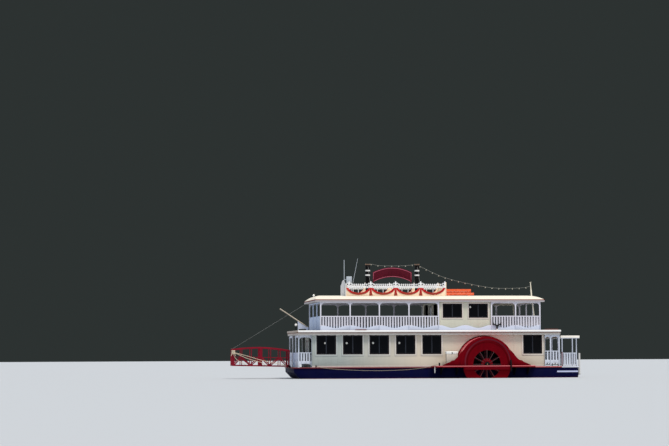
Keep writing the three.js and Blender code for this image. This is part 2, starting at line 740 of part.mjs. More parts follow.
function parapetSide() {
  const first = PARAPET_POSTS[0];
  const last = PARAPET_POSTS[4];
  const points = [[first, 6200], [last, 6200], [last, CREST_TOP]];
  const count = CREST_POINTS * 4;
  const pitch = (last - first) / count;
  for (let n = count; n > 0; n -= 1) {
    const x = first + (n - 1) * pitch;
    points.push([x + 0.5 * pitch, CREST_TOP - 60]);
    if (n > 1 && (n - 1) % CREST_POINTS === 0) {
      points.push(...FINIAL.map(([wide, z]) => [x + wide, z]), [x, FINIAL_TOP]);
      points.push(...FINIAL.map(([wide, z]) => [x - wide, z]).reverse());
    } else {
      points.push([x, CREST_TOP]);
    }
  }
  const shape = outline(points);
  for (let n = 0; n < 4; n += 1) {
    const middle = (PARAPET_POSTS[n] + PARAPET_POSTS[n + 1]) / 2;
    shape.holes.push(hangingArch(middle, ARCH_HALF, ARCH_DEPTH, ARCH_TOP));
  }
  const board = boardXZ(shape, -PARAPET_HALF, -PARAPET_HALF + PARAPET_BOARD, 6);
  const endPost = box(last - 60, last + 60, -PARAPET_HALF, -PARAPET_HALF + 80, 6200, END_POST_TOP);
  return join(board, endPost);
}

function buildParapet(roof) {
  const side = parapetSide();
  const x0 = PARAPET_POSTS[0];
  const x1 = PARAPET_POSTS[4];
  const front = new THREE.Shape();
  front.moveTo(-PARAPET_HALF, 6200);
  front.lineTo(PARAPET_HALF, 6200);
  front.lineTo(PARAPET_HALF, CREST_TOP);
  front.bezierCurveTo(900, CREST_TOP, 700, 7620, 0, 7640);
  front.bezierCurveTo(-700, 7620, -900, CREST_TOP, -PARAPET_HALF, CREST_TOP);
  front.closePath();
  const ring = join(side, mirrored(side),
    boardYZ(front, x0 - PARAPET_BOARD, x0, 8),
    box(x0 - PARAPET_BOARD, x0 + 1, -PARAPET_HALF, -PARAPET_HALF + PARAPET_BOARD, 6200, CREST_TOP),
    box(x0 - PARAPET_BOARD, x0 + 1, PARAPET_HALF - PARAPET_BOARD, PARAPET_HALF, 6200, CREST_TOP),
    box(x1 - PARAPET_BOARD, x1, -PARAPET_HALF, PARAPET_HALF, 6200, PARAPET_TOP));
  return seated(ring, roof);
}

const SWAG_BAND = 120;
const TASSEL_FOOT = 6400;

function swagsPort() {
  const outerFace = -PARAPET_HALF - GAP;
  const parts = [];
  for (let n = 0; n < 4; n += 1) {
    const middle = (PARAPET_POSTS[n] + PARAPET_POSTS[n + 1]) / 2;
    const band = hangingArch(middle, ARCH_HALF + SWAG_BAND, ARCH_DEPTH + SWAG_BAND, ARCH_TOP);
    const cut = hangingArch(middle, ARCH_HALF, ARCH_DEPTH, ARCH_TOP + 50);
    parts.push(boardXZ(band, outerFace - 30, outerFace, 6)
      .subtract(boardXZ(cut, outerFace - 60, outerFace + 30, 6))
      .subtract(box(middle - ARCH_HALF, middle + ARCH_HALF, outerFace - 60, outerFace + 30,
        ARCH_TOP - 1, ARCH_TOP + 60)));
  }
  for (const x of PARAPET_POSTS.slice(1, 4)) {
    const tassel = outline([[x - 60, ARCH_TOP], [x - 50, 6850], [x - 130, TASSEL_FOOT],
      [x + 130, TASSEL_FOOT], [x + 50, 6850], [x + 60, ARCH_TOP]]);
    parts.push(boardXZ(tassel, outerFace - 45, outerFace));
  }
  return join(parts);
}

// Funnels: black pipes with white bands and a pointed crown
const FUNNELS_X = [-4780, -860];
const FUNNEL_R = 180;
const FUNNEL_RIM = 8820;
const FUNNEL_TOP = 8940;
const CROWN_TEETH = 8;

function buildFunnel(x, roof) {
  const profile = [[0, 6100], [FUNNEL_R, 6100], [FUNNEL_R, 7970], [FUNNEL_R + 8, 7975],
    [FUNNEL_R + 8, 8075], [FUNNEL_R, 8080], [FUNNEL_R, 8320], [FUNNEL_R + 8, 8325], [FUNNEL_R + 8, 8430],
    [FUNNEL_R, 8435], [FUNNEL_R, 8700], [FUNNEL_R + 40, 8760], [FUNNEL_R + 40, FUNNEL_RIM],
    [FUNNEL_R - 25, FUNNEL_RIM], [FUNNEL_R - 25, 8000], [0, 8000]];
  const lathe = new THREE.LatheGeometry(profile.map(([r, z]) => new THREE.Vector2(r, z)), 16);
  const pipe = solid(lathe.rotateX(Math.PI / 2)).translate([x, 0, 0]);
  const teeth = [];
  for (let n = 0; n < CROWN_TEETH; n += 1) {
    const angle = (n / CROWN_TEETH) * 2 * Math.PI;
    const tooth = outline([[-60, FUNNEL_RIM - 30], [60, FUNNEL_RIM - 30], [0, FUNNEL_TOP]]);
    teeth.push(boardYZ(tooth, FUNNEL_R - 8, FUNNEL_R + 14)
      .rotate([0, 0, (angle * 180) / Math.PI]).translate([x, 0, 0]));
  }
  return seated(join(pipe, teeth), roof);
}

// Blank arched sign board on two posts between the funnels
const SIGN_X = [-4380, -1280];
const SIGN_LOW = { end: 7490, middle: 7880 };
const SIGN_HIGH = { end: 8270, middle: 8640 };
const SIGN_POST_R = 30;

// Height of a curve's control point for a curve that passes a given height in its middle
function archControl({ end, middle }) {
  return 2 * middle - end;
}

function buildSign(roof) {
  const [x0, x1] = SIGN_X;
  const middle = (x0 + x1) / 2;
  const shape = new THREE.Shape();
  shape.moveTo(x0, SIGN_LOW.end);
  shape.quadraticCurveTo(middle, archControl(SIGN_LOW), x1, SIGN_LOW.end);
  shape.lineTo(x1, SIGN_HIGH.end);
  shape.quadraticCurveTo(middle, archControl(SIGN_HIGH), x0, SIGN_HIGH.end);
  shape.closePath();
  const posts = [x0 + 60, x1 - 60].map((x) => rod([x, 0, 6200], [x, 0, 7700], SIGN_POST_R, 8));
  return seated(join(boardXZ(shape, -20, 20, 12), posts), roof);
}

// Buoyant floats: two slabs on bearers cut to the camber
const FLOAT_HALF = 700;
const FLOAT_PIECES = [
  { start: 1250, end: 3550, low: 6440, high: 6640 },
  { start: 1280, end: 3310, low: 6620, high: 6920 },
  { start: 1500, end: 1600, low: 6250, high: 6450 },
  { start: 3100, end: 3200, low: 6250, high: 6450 },
];

function buildFloats(roof) {
  const pieces = FLOAT_PIECES.map(({ start, end, low, high }) =>
    box(start, end, -FLOAT_HALF, FLOAT_HALF, low, high));
  return seated(join(pieces), roof);
}

// Short mast on the roof's stern end: stepped, leaning forward, with a fork at the top
const MAST_X = 8370;
const MAST_FOOT = 6100;
const MAST_LEAN = -4;
const MAST_PROFILE = [[0, 0], [95, 0], [95, 260], [55, 340], [55, 800], [40, 840], [32, 1340], [0, 1340]];

function buildAftMast(roof) {
  const lathe = new THREE.LatheGeometry(MAST_PROFILE.map(([r, z]) => new THREE.Vector2(r, z)), 12);
  const pole = solid(lathe.rotateX(Math.PI / 2));
  const prongs = [-60, 60].map((x) => bar([0, 0, 1320], [x, 0, 1420], 26, 26));
  const mast = join(pole, prongs).rotate([0, MAST_LEAN, 0]).translate([MAST_X, 0, MAST_FOOT]);
  return seated(mast, roof);
}

// Aerial pole with a box held out on a bracket
const AERIAL_X = -6775;
const AERIAL_Y = -900;
const AERIAL_TOP = 9170;
const AERIAL_BOX = { start: -6590, end: -6200, low: 7390, high: 7890, half: 150 };

function buildAerial(roof) {
  const { start, end, low, high, half } = AERIAL_BOX;
  const middle = (low + high) / 2;
  return seated(join(
    rod([AERIAL_X, AERIAL_Y, 6100], [AERIAL_X, AERIAL_Y, AERIAL_TOP], 22, 8),
    box(AERIAL_X, end - 30, AERIAL_Y - 20, AERIAL_Y + 20, middle - 20, middle + 20),
    box(start, end, AERIAL_Y - half, AERIAL_Y + half, low, high)), roof);
}

// Bow boom with its stanchion and white gusset panel
const BOOM_TIP = [-11700, 0, 5405];
const BOOM_HEEL = [-9500, 0, 3950];
const BOOM_R = 45;
const STANCHION_X = -10270;
const GUSSET_STERN = -9600;
const GUSSET_LOW = 3830;

function buildBoom() {
  const foot = UPPER_DECK_TOP + GAP;
  const gusset = outline([[GUSSET_STERN, GUSSET_LOW], [GUSSET_STERN, 4000],
    [STANCHION_X + 10, 4425], [STANCHION_X + 10, GUSSET_LOW]]);
  return join(
    rod(BOOM_HEEL, BOOM_TIP, BOOM_R, 12),
    boardXZ(gusset, -15, 15),
    box(GUSSET_STERN - 40, BOOM_HEEL[0] + 20, -60, 60, foot, 3970),
    rod([STANCHION_X, 0, foot], [STANCHION_X, 0, 4460], 40, 8));
}

// Gangway: two arched trusses with a deck between them, hinged at the bow
const GANGWAY_TIP = -15500;
const GANGWAY_HEEL = -11040;
const GANGWAY_LOW = 900;
const GANGWAY_DECK = 980;
const GANGWAY_MID = 1600;
const GANGWAY_BAYS = 6;
const GANGWAY_CROWN = 2400;
const GANGWAY_FALL = 200;
const GANGWAY_RISE = 1.2;
const CHORD = 130;
const TIP_POST = 200;
const HEEL_POST = 130;
const MIDDLE_POST_HALF = 100;
const BAY_POST_HALF = 30;

function gangwayTop(x) {
  const middle = (GANGWAY_TIP + GANGWAY_HEEL) / 2;
  const share = (x - middle) / (GANGWAY_HEEL - middle);
  return GANGWAY_CROWN - GANGWAY_FALL * share * share;
}

// Half the width of the post between two bays
function bayPostHalf(n) {
  return n === GANGWAY_BAYS / 2 ? MIDDLE_POST_HALF : BAY_POST_HALF;
}

function gangwayTruss() {
  const steps = 12;
  const points = [[GANGWAY_TIP, GANGWAY_LOW], [GANGWAY_HEEL, GANGWAY_LOW]];
  for (let n = steps; n >= 0; n -= 1) {
    const x = GANGWAY_TIP + ((GANGWAY_HEEL - GANGWAY_TIP) * n) / steps;
    points.push([x, gangwayTop(x)]);
  }
  const shape = outline(points);
  const bay = (GANGWAY_HEEL - GANGWAY_TIP) / GANGWAY_BAYS;
  for (let n = 0; n < GANGWAY_BAYS; n += 1) {
    const a0 = GANGWAY_TIP + n * bay + (n === 0 ? TIP_POST : bayPostHalf(n));
    const a1 = GANGWAY_TIP + (n + 1) * bay - (n === GANGWAY_BAYS - 1 ? HEEL_POST : bayPostHalf(n + 1));
    const low = GANGWAY_DECK + 20;
    const mid = GANGWAY_MID - 25;
    shape.holes.push(outline([[a0, GANGWAY_MID + 25], [a1, GANGWAY_MID + 25],
      [a1, gangwayTop(a1) - CHORD], [a0, gangwayTop(a0) - CHORD]]));
    const rising = n % 2 === 0;
    const slack = 55;
    if (rising) {
      shape.holes.push(outline([[a0 + slack, low], [a1, low], [a1, mid - slack]]));
      shape.holes.push(outline([[a0, low + slack], [a1 - slack, mid], [a0, mid]]));
    } else {
      shape.holes.push(outline([[a0, low], [a1 - slack, low], [a0, mid - slack]]));
      shape.holes.push(outline([[a1, low + slack], [a1, mid], [a0 + slack, mid]]));
    }
  }
  return boardXZ(shape, -GANGWAY_HALF, -GANGWAY_HALF + 50);
}

// The gangway is drawn level, then lifted a little about its hinge pin
function buildGangway() {
  const truss = gangwayTruss();
  const inner = GANGWAY_HALF - 40;
  const reach = GANGWAY_HALF + 35 - GAP;
  const level = join(truss, mirrored(truss),
    box(GANGWAY_TIP, GANGWAY_HEEL, -inner, inner, GANGWAY_DECK - 60, GANGWAY_DECK),
    rod([HINGE_X, -reach, HINGE_Z], [HINGE_X, reach, HINGE_Z], 40, 12));
  return level.translate([-HINGE_X, 0, -HINGE_Z]).rotate([0, GANGWAY_RISE, 0])
    .translate([HINGE_X, 0, HINGE_Z]);
}

// Paddle box: arched casing, and the carved face with its fan
const CASING_THICK = 60;
const ARC_STEPS = 16;

function arcPoints(radius, from, to, steps) {
  return Array.from({ length: steps + 1 }, (_, n) => {
    const angle = from + ((to - from) * n) / steps;
    return [WHEEL_X + radius * Math.cos(angle), WHEEL_Z + radius * Math.sin(angle)];
  });
}

function sector(inner, outer, from, to, steps) {
  return outline([...arcPoints(outer, from, to, steps), ...arcPoints(inner, to, from, steps)]);
}

function paddleCasingPort() {
  const inner = -SALOON_HALF - GAP;
  const outer = -FACE_IN + GAP;
  const arch = boardXZ(sector(BOX_R - CASING_THICK, BOX_R, 0, Math.PI, ARC_STEPS), outer, inner);
  const legs = [];
  for (const side of [-1, 1]) {
    const edges = [WHEEL_X + side * BOX_R, WHEEL_X + side * (BOX_R - CASING_THICK)];
    const x0 = Math.min(...edges);
    const x1 = Math.max(...edges);
    legs.push(box(x0, x1, outer, inner, GUARD_TOP + GAP, WHEEL_Z + 1));
    legs.push(box(x0, x1, -3440, inner, DECK_TOP + GAP, GUARD_TOP + 10));
  }
  return join(arch, legs);
}

// Half of the face's upper edge: distance from the wheel centre and height
const WING = [[3430, 990], [3200, 1110], [2890, 1230], [2740, 1340], [2520, 1390], [2330, 1570],
  [2020, 1970]];
const CROWN_FROM = Math.acos(1800 / BOX_R);
const FAN_IN = 450;
const FAN_R = 1080;
const FAN_SECTORS = 12;
const FAN_SPOKE_HALF = 0.03;
const HUB_R = 200;
const HUB_STEPS = 12;
const LOWER_R = 1870;
const FACE_FOOT = -700;
const RING_RADII = [[2090, 1915], [1750, 1700]];
const RING_START = -0.06;

function paddleFacePort() {
  const foot = GUARD_TOP + GAP;
  const wing = WING.map(([away, z]) => [WHEEL_X + away, z]);
  const lowerFrom = Math.asin((foot - WHEEL_Z) / LOWER_R);
  const lowerTo = Math.asin((FACE_FOOT - WHEEL_Z) / LOWER_R);
  const shape = outline([
    ...arcPoints(LOWER_R, lowerTo, lowerFrom, 8),
    [WHEEL_X + WING[0][0], foot],
    ...wing,
    ...arcPoints(BOX_R, CROWN_FROM, Math.PI - CROWN_FROM, ARC_STEPS),
    ...wing.map(([x, z]) => [2 * WHEEL_X - x, z]).reverse(),
    [WHEEL_X - WING[0][0], foot],
    ...arcPoints(LOWER_R, Math.PI - lowerFrom, Math.PI - lowerTo, 8),
  ]);
  const step = (2 * Math.PI) / FAN_SECTORS;
  for (let n = 0; n < FAN_SECTORS; n += 1) {
    shape.holes.push(sector(FAN_IN, FAN_R, n * step + FAN_SPOKE_HALF, (n + 1) * step - FAN_SPOKE_HALF, 2));
  }
  const raised = RING_RADII.map(([outer, inner]) =>
    boardXZ(sector(inner, outer, RING_START, Math.PI - RING_START, ARC_STEPS),
      -FACE_OUT - 25, -FACE_OUT + 5));
  const hub = rod([WHEEL_X, -FACE_OUT - 70, WHEEL_Z], [WHEEL_X, -FACE_IN, WHEEL_Z], HUB_R, HUB_STEPS);
  const guardPlace = box(SPONSON_BOW, SPONSON_STERN, -GUARD_OUT, -FACE_OUT + 10, 0, foot);
  return join(boardXZ(shape, -FACE_OUT, -FACE_IN), join(raised, hub).subtract(guardPlace));
}

const ARMS = 12;

function wheelCorners(radius) {
  return Array.from({ length: ARMS }, (_, n) => {
    const angle = (n / ARMS) * 2 * Math.PI;
    return [WHEEL_X + radius * Math.cos(angle), WHEEL_Z + radius * Math.sin(angle)];
  });
}

function paddleWheelPort() {
  const parts = [rod([WHEEL_X, -WHEEL_OUT, WHEEL_Z], [WHEEL_X, -WHEEL_IN, WHEEL_Z], 170, ARMS)];
  for (const y of [-WHEEL_OUT + 20, -WHEEL_IN - 50]) {
    const ring = outline(wheelCorners(1290));
    ring.holes.push(outline(wheelCorners(1210)));
    parts.push(boardXZ(ring, y, y + 30));
    for (let n = 0; n < ARMS; n += 1) {
      const angle = (n / ARMS) * 2 * Math.PI;
      const tip = [WHEEL_X + 1500 * Math.cos(angle), y + 15, WHEEL_Z + 1500 * Math.sin(angle)];
      parts.push(bar([WHEEL_X, y + 15, WHEEL_Z], tip, 30, 60));
    }
  }
  for (let n = 0; n < ARMS; n += 1) {
    const angle = (n / ARMS) * 2 * Math.PI;
    const middle = (1080 + WHEEL_R) / 2;
    const geometry = new THREE.BoxGeometry(WHEEL_R - 1080, WHEEL_OUT - WHEEL_IN, 60);
    geometry.rotateY(-angle);
    geometry.translate(WHEEL_X + middle * Math.cos(angle), -(WHEEL_OUT + WHEEL_IN) / 2,
      WHEEL_Z + middle * Math.sin(angle));
    parts.push(solid(geometry));
  }
  return join(parts);
}

// Shaft through the saloon: it ends at each paddle box face
function buildShaft() {
  return rod([WHEEL_X, -WHEEL_IN + GAP, WHEEL_Z], [WHEEL_X, WHEEL_IN - GAP, WHEEL_Z], SHAFT_R, 16);
}

function wheelWithStub() {
  const stub = rod([WHEEL_X, -FACE_IN + GAP, WHEEL_Z], [WHEEL_X, -WHEEL_OUT + 5, WHEEL_Z], SHAFT_R, 12);
  return join(paddleWheelPort(), stub);
}

// Lockers on the sponsons, and their lids
const LOCKER_X = [680, 1560];
const LOCKER_Y = [-3860, -3460];
const LOCKER_TOP = 1840;
const LID_TOP = 2050;

function lockerPort() {
  const [x0, x1] = LOCKER_X;
  const [y0, y1] = LOCKER_Y;
  return box(x0, x1, y0, y1, GUARD_TOP + GAP, LOCKER_TOP)
    .subtract(box(x0 + 25, x1 - 25, y0 + 25, y1 - 25, GUARD_TOP + 40, LOCKER_TOP + 50));
}

function lockerLidPort() {
  const [x0, x1] = LOCKER_X;
  return box(x0 - 15, x1 + 15, LOCKER_Y[0] - 15, LOCKER_Y[1], LOCKER_TOP + GAP, LID_TOP);
}

// Mooring line hanging along the side, from the bow cleat to the forward bollard
const ROPE_R = 16;
const ROPE_ROUTE = [
  [CLEAT_X, -CLEAT_Y - CLEAT_R - GAP, 940],
  [CLEAT_X, -CLEAT_Y - CLEAT_R - 30, 940],
  [CLEAT_X + 70, -3350, 930],
  [CLEAT_X + 300, -3430, 870],
  [-8300, -3490, 770],
  [-6500, -3500, 650],
  [-4550, -3500, 600],
  [-2600, -3560, 650],
  [-1200, -3950, 790],
  [BOLLARDS[0].x - BOLLARD_R - 120, BOLLARD_Y, 1030],
  [BOLLARDS[0].x - BOLLARD_R - 20, BOLLARD_Y, 1030],
  [BOLLARDS[0].x - BOLLARD_R - GAP, BOLLARD_Y, 1030],
];

function buildMooringLine() {
  const curve = new THREE.CatmullRomCurve3(ROPE_ROUTE.map((p) => new THREE.Vector3(...p)));
  const section = new THREE.Shape();
  const sides = 8;
  for (let n = 0; n < sides; n += 1) {
    const angle = (n / sides) * 2 * Math.PI;
    const point = [ROPE_R * Math.cos(angle), ROPE_R * Math.sin(angle)];
    if (n === 0) section.moveTo(...point);
    else section.lineTo(...point);
  }
  section.closePath();
  return solid(new THREE.ExtrudeGeometry(section, { steps: 44, extrudePath: curve }));
}

const roof = buildRoof();

place('hull', buildHull(), 'navy');
place('main_deck', buildMainDeck(), 'sheer');
place('rudder', buildRudder(), 'iron');
placeBothSides('sponson', buildSponsonPort(), 'sheer');
placeBothSides('saloon_wall', saloonPortWall(), 'cream');
placeBothSides('saloon_glazing',
  glazing(-9350, 8420, SALOON_HALF, SALOON_WINDOWS, SALOON_SILL, SALOON_HEAD), 'glass');
const saloonInner = SALOON_HALF - WALL - GAP;
place('saloon_wall_front', doorWall(SALOON_BOW, SALOON_BOW + WALL, saloonInner, DECK_TOP + GAP,
  UPPER_DECK_LOW - GAP, [-SALOON_DOOR_HALF, SALOON_DOOR_HALF, SALOON_DOOR_HEAD],
  [[-2800, -1150, SALOON_SILL, SALOON_HEAD], [1150, 2800, SALOON_SILL, SALOON_HEAD]]), 'cream');
place('saloon_wall_aft', doorWall(SALOON_STERN - WALL, SALOON_STERN, saloonInner, DECK_TOP + GAP,
  UPPER_DECK_LOW - GAP, [...AFT_DOOR, SALOON_DOOR_HEAD],
  [[-2600, -1100, SALOON_SILL, SALOON_HEAD], [1100, 2600, SALOON_SILL, SALOON_HEAD]]), 'cream');
const frontDoorX = SALOON_BOW + WALL / 2;
place('saloon_door_port', crossDoor(frontDoorX, -SALOON_DOOR_HALF, 0, DECK_TOP, SALOON_DOOR_HEAD), 'timber');
place('saloon_door_starboard',
  crossDoor(frontDoorX, SALOON_DOOR_HALF, 0, DECK_TOP, SALOON_DOOR_HEAD), 'timber');
place('saloon_door_aft',
  crossDoor(SALOON_STERN - WALL / 2, AFT_DOOR[0], AFT_DOOR[1], DECK_TOP, SALOON_DOOR_HEAD), 'timber');
place('upper_deck', buildUpperDeck(), 'white');
place('valance', buildValance(), 'white');
placeBothSides('bow_rail', bowRailPort(), 'white');
placeBothSides('aft_rail', aftRailPort(), 'white');
place('stern_porch', buildSternPorch(), 'white');
placeBothSides('stern_fender', sternFenderPort(), 'white');
placeBothSides('upper_rail', upperRailPort(), 'white');
place('upper_rail_front', upperCrossRail(UPPER_POSTS_FORE[0], true), 'white');
place('upper_rail_aft', upperCrossRail(UPPER_POSTS_AFT[2], false), 'white');
const cabinBow = UPPER_POSTS_FORE[4];
const cabinStern = UPPER_POSTS_AFT[0];
placeBothSides('cabin_wall', sideWall(cabinBow, cabinStern, UPPER_DECK_TOP + GAP, ROOF_LOW - GAP,
  CABIN_HALF, CABIN_WINDOWS, CABIN_SILL, CABIN_HEAD), 'cream');
placeBothSides('cabin_glazing',
  glazing(400, 4150, CABIN_HALF, CABIN_WINDOWS, CABIN_SILL, CABIN_HEAD), 'glass');
const cabinInner = CABIN_HALF - WALL - GAP;
for (const [name, x] of [['front', cabinBow], ['aft', cabinStern - WALL]]) {
  place(`cabin_wall_${name}`, doorWall(x, x + WALL, cabinInner, UPPER_DECK_TOP + GAP, ROOF_LOW - GAP,
    [...CABIN_DOOR, CABIN_DOOR_HEAD],
    [[-2800, -1000, CABIN_SILL, CABIN_HEAD], [1000, 2800, CABIN_SILL, CABIN_HEAD]]), 'cream');
  place(`cabin_door_${name}`,
    crossDoor(x + WALL / 2, CABIN_DOOR[0], CABIN_DOOR[1], UPPER_DECK_TOP, CABIN_DOOR_HEAD), 'timber');
}
place('roof', roof, 'roof');
place('parapet', buildParapet(roof), 'white');
placeBothSides('swags', swagsPort(), 'red');
FUNNELS_X.forEach((x, n) => place(n === 0 ? 'funnel_fore' : 'funnel_aft', buildFunnel(x, roof), 'black'));
place('sign_board', buildSign(roof), 'red');
place('floats', buildFloats(roof), 'orange');
place('aft_mast', buildAftMast(roof), 'white');
place('aerial', buildAerial(roof), 'white');
place('bow_boom', buildBoom(), 'white');
place('gangway', buildGangway(), 'red');
placeBothSides('paddle_casing', paddleCasingPort(), 'red');
placeBothSides('paddle_face', paddleFacePort(), 'red');
placeBothSides('paddle_wheel', wheelWithStub(), 'red');
place('paddle_shaft', buildShaft(), 'iron');
place('engine', box(1900, 3500, -800, 800, DECK_TOP + GAP, 2000), 'iron');
placeBothSides('locker', lockerPort(), 'cream');
placeBothSides('locker_lid', lockerLidPort(), 'white');
place('mooring_line', buildMooringLine(), 'rope');

export default part;
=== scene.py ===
import math

import bpy
from mathutils import Matrix, Vector


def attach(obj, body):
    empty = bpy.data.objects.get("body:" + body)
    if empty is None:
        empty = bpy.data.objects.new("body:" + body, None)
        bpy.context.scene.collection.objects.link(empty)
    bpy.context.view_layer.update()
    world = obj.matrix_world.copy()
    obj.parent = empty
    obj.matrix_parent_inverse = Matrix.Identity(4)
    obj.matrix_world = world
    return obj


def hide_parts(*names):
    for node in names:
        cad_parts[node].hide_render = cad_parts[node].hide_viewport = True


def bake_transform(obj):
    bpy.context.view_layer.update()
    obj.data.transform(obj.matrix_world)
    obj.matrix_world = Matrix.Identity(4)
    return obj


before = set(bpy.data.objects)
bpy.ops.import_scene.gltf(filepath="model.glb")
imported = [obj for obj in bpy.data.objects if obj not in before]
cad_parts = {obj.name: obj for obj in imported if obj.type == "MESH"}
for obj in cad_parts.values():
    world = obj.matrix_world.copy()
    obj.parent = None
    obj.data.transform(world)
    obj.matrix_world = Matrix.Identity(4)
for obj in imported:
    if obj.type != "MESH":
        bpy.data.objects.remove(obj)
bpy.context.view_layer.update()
bpy.ops.object.select_all(action="DESELECT")

# The view: the boat is seen from off its port side, turned a little bow first, by a long lens
# just under two metres up, so decks and roofs are edge on.
PHOTO_WIDTH = 669
PHOTO_HEIGHT = 446
PIXELS_PER_METRE = 13.0
VIEW_DISTANCE = 145.0
VIEW_TURN = math.radians(8.0)
VIEW_HEIGHT = 1.92
VIEW_ROLL = math.radians(0.23)
NEAR_SIDE = -3.3
AMIDSHIPS_PX = 435.6
HORIZON_PY = 353.5
SENSOR = 36.0

focal_px = PIXELS_PER_METRE * VIEW_DISTANCE
ahead = Vector((math.sin(VIEW_TURN), math.cos(VIEW_TURN), 0))
right = Vector((math.cos(VIEW_TURN), -math.sin(VIEW_TURN), 0))
off_centre = (AMIDSHIPS_PX - PHOTO_WIDTH / 2) / PIXELS_PER_METRE
eye = Vector((0, NEAR_SIDE, VIEW_HEIGHT)) - VIEW_DISTANCE * ahead - off_centre * right
tilt = math.atan((HORIZON_PY - PHOTO_HEIGHT / 2) / focal_px)
bpy.ops.object.camera_add(location=eye, rotation=(math.pi / 2 + tilt, 0, -VIEW_TURN))
camera = bpy.context.object
bpy.ops.transform.rotate(value=VIEW_ROLL, orient_axis="Z", orient_type="LOCAL",
                         center_override=eye)
camera.data.sensor_width = SENSOR
camera.data.lens = SENSOR * focal_px / PHOTO_WIDTH
camera.data.clip_end = 1000
bpy.context.scene.camera = camera


# Ropes: the mooring line is a worn three-strand natural rope, made off to the bow cleat and to
# the forward bollard of the paddle guard, slack along the side. Three paler lines are made
# fast to the gangway's outer post and hang in easy curves down to its lower chord.
ROPE_ROUTE = [
    (-9.300, -3.2453, 0.940),
    (-9.300, -3.275, 0.940),
    (-9.230, -3.350, 0.930),
    (-9.000, -3.430, 0.870),
    (-8.300, -3.490, 0.770),
    (-6.500, -3.500, 0.650),
    (-4.550, -3.500, 0.600),
    (-2.600, -3.560, 0.650),
    (-1.200, -3.950, 0.790),
    (-0.165, -4.375, 1.030),
    (-0.065, -4.375, 1.030),
    (-0.0453, -4.375, 1.030),
]
ROPE_THICK = 0.032
LINES_AT_GANGWAY = [
    [(-15.400, -0.790, 1.950), (-15.340, -0.812, 1.760), (-15.200, -0.815, 1.540),
     (-14.980, -0.815, 1.370), (-14.700, -0.812, 1.225), (-14.380, -0.765, 1.065)],
    [(-15.390, -0.790, 2.030), (-15.200, -0.812, 1.985), (-14.600, -0.815, 1.830),
     (-14.000, -0.815, 1.650), (-13.180, -0.815, 1.410), (-12.360, -0.812, 1.225),
     (-11.700, -0.812, 1.100), (-11.320, -0.765, 1.003)],
    [(-15.395, -0.790, 1.990), (-15.100, -0.812, 1.905), (-14.870, -0.815, 1.800),
     (-14.310, -0.815, 1.560), (-13.710, -0.815, 1.375), (-13.260, -0.812, 1.250),
     (-12.900, -0.765, 1.036)],
]
LINE_THICK = 0.040


def along_route(points, spread=8):
    """A smooth line through the points of a rope's route, with some places between each two."""
    route = [Vector(p) for p in points]
    route = [2 * route[0] - route[1], *route, 2 * route[-1] - route[-2]]
    line = []
    for before, start, end, after in zip(route, route[1:], route[2:], route[3:]):
        gaps = [max(a, 1e-4) ** 0.5 for a in (
            (start - before).length, (end - start).length, (after - end).length)]
        leave = ((start - before) / gaps[0] - (end - before) / (gaps[0] + gaps[1])
                 + (end - start) / gaps[1]) * gaps[1]
        arrive = ((end - start) / gaps[1] - (after - start) / (gaps[1] + gaps[2])
                  + (after - end) / gaps[2]) * gaps[1]
        for step in range(spread):
            t = step / spread
            line.append((2 * t**3 - 3 * t**2 + 1) * start + (t**3 - 2 * t**2 + t) * leave
                        + (3 * t**2 - 2 * t**3) * end + (t**3 - t**2) * arrive)
    return [*line, route[-2]]


def rope(name, points, thick, sides=2):
    """A rope or wire drawn as a round curve through its points."""
    bpy.ops.curve.primitive_bezier_curve_add()
    piece = bpy.context.object
    piece.name = name
    curve = piece.data
    curve.splines.clear()
    spline = curve.splines.new("POLY")
    spline.points.add(len(points) - 1)
    for place, point in zip(spline.points, points):
        place.co = (*point, 1)
    curve.bevel_depth = thick / 2
    curve.bevel_resolution = sides
    curve.use_fill_caps = True
    piece.location = (0, 0, 0)
    return piece


def feed(owner, node, inputs):
    """Gives each named input of a node its value, or links it to the socket that has it.
    Colours are given without their fourth value."""
    for name, value in inputs.items():
        socket = node.inputs[name]
        if isinstance(value, bpy.types.NodeSocket):
            owner.node_tree.links.new(value, socket)
        else:
            socket.default_value = (*value, 1) if socket.type == "RGBA" else value
    return node


def add_node(owner, kind, inputs):
    """Adds a node to a finish, or to the sky, and feeds it."""
    return feed(owner, owner.node_tree.nodes.new(kind), inputs)


def shader_of(material):
    """The one shader that makes up a finish."""
    return material.node_tree.nodes["Principled BSDF"]


def new_finish(name, slot):
    """A new finish for one of the record's material slots, and its shader."""
    material = bpy.data.materials.new(name)
    material.use_nodes = True
    material["slot"] = slot
    return material, shader_of(material)


def place_on(material):
    """The place on the boat that is being painted."""
    return material.node_tree.nodes.new("ShaderNodeTexCoord").outputs["Object"]


def rope_fibre(name, colour, soiled, strands):
    """Laid rope: strands show as slanting ridges, with soiled hollows between them."""
    material, shader = new_finish(name, "rope")
    lay = add_node(material, "ShaderNodeTexWave", {
        "Vector": place_on(material), "Scale": strands, "Distortion": 1.5})
    lay.bands_direction = "DIAGONAL"
    ramp = add_node(material, "ShaderNodeValToRGB", {"Fac": lay.outputs["Fac"]})
    ramp.color_ramp.elements[0].color = (*soiled, 1)
    ramp.color_ramp.elements[1].color = (*colour, 1)
    bump = add_node(material, "ShaderNodeBump", {
        "Height": lay.outputs["Fac"], "Strength": 0.6, "Distance": 0.004})
    feed(material, shader, {"Base Color": ramp.outputs["Color"],
                            "Normal": bump.outputs["Normal"], "Roughness": 0.9})
    return material


def made_fast(name, points, thick, finish, body, *solids):
    """A free rope along a route, fast to the boat at both its ends."""
    line = along_route(points)
    piece = rope(name, line, thick)
    piece.data.materials.append(finish)
    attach(piece, body)
    if solids:
        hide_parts(*solids)
    return piece


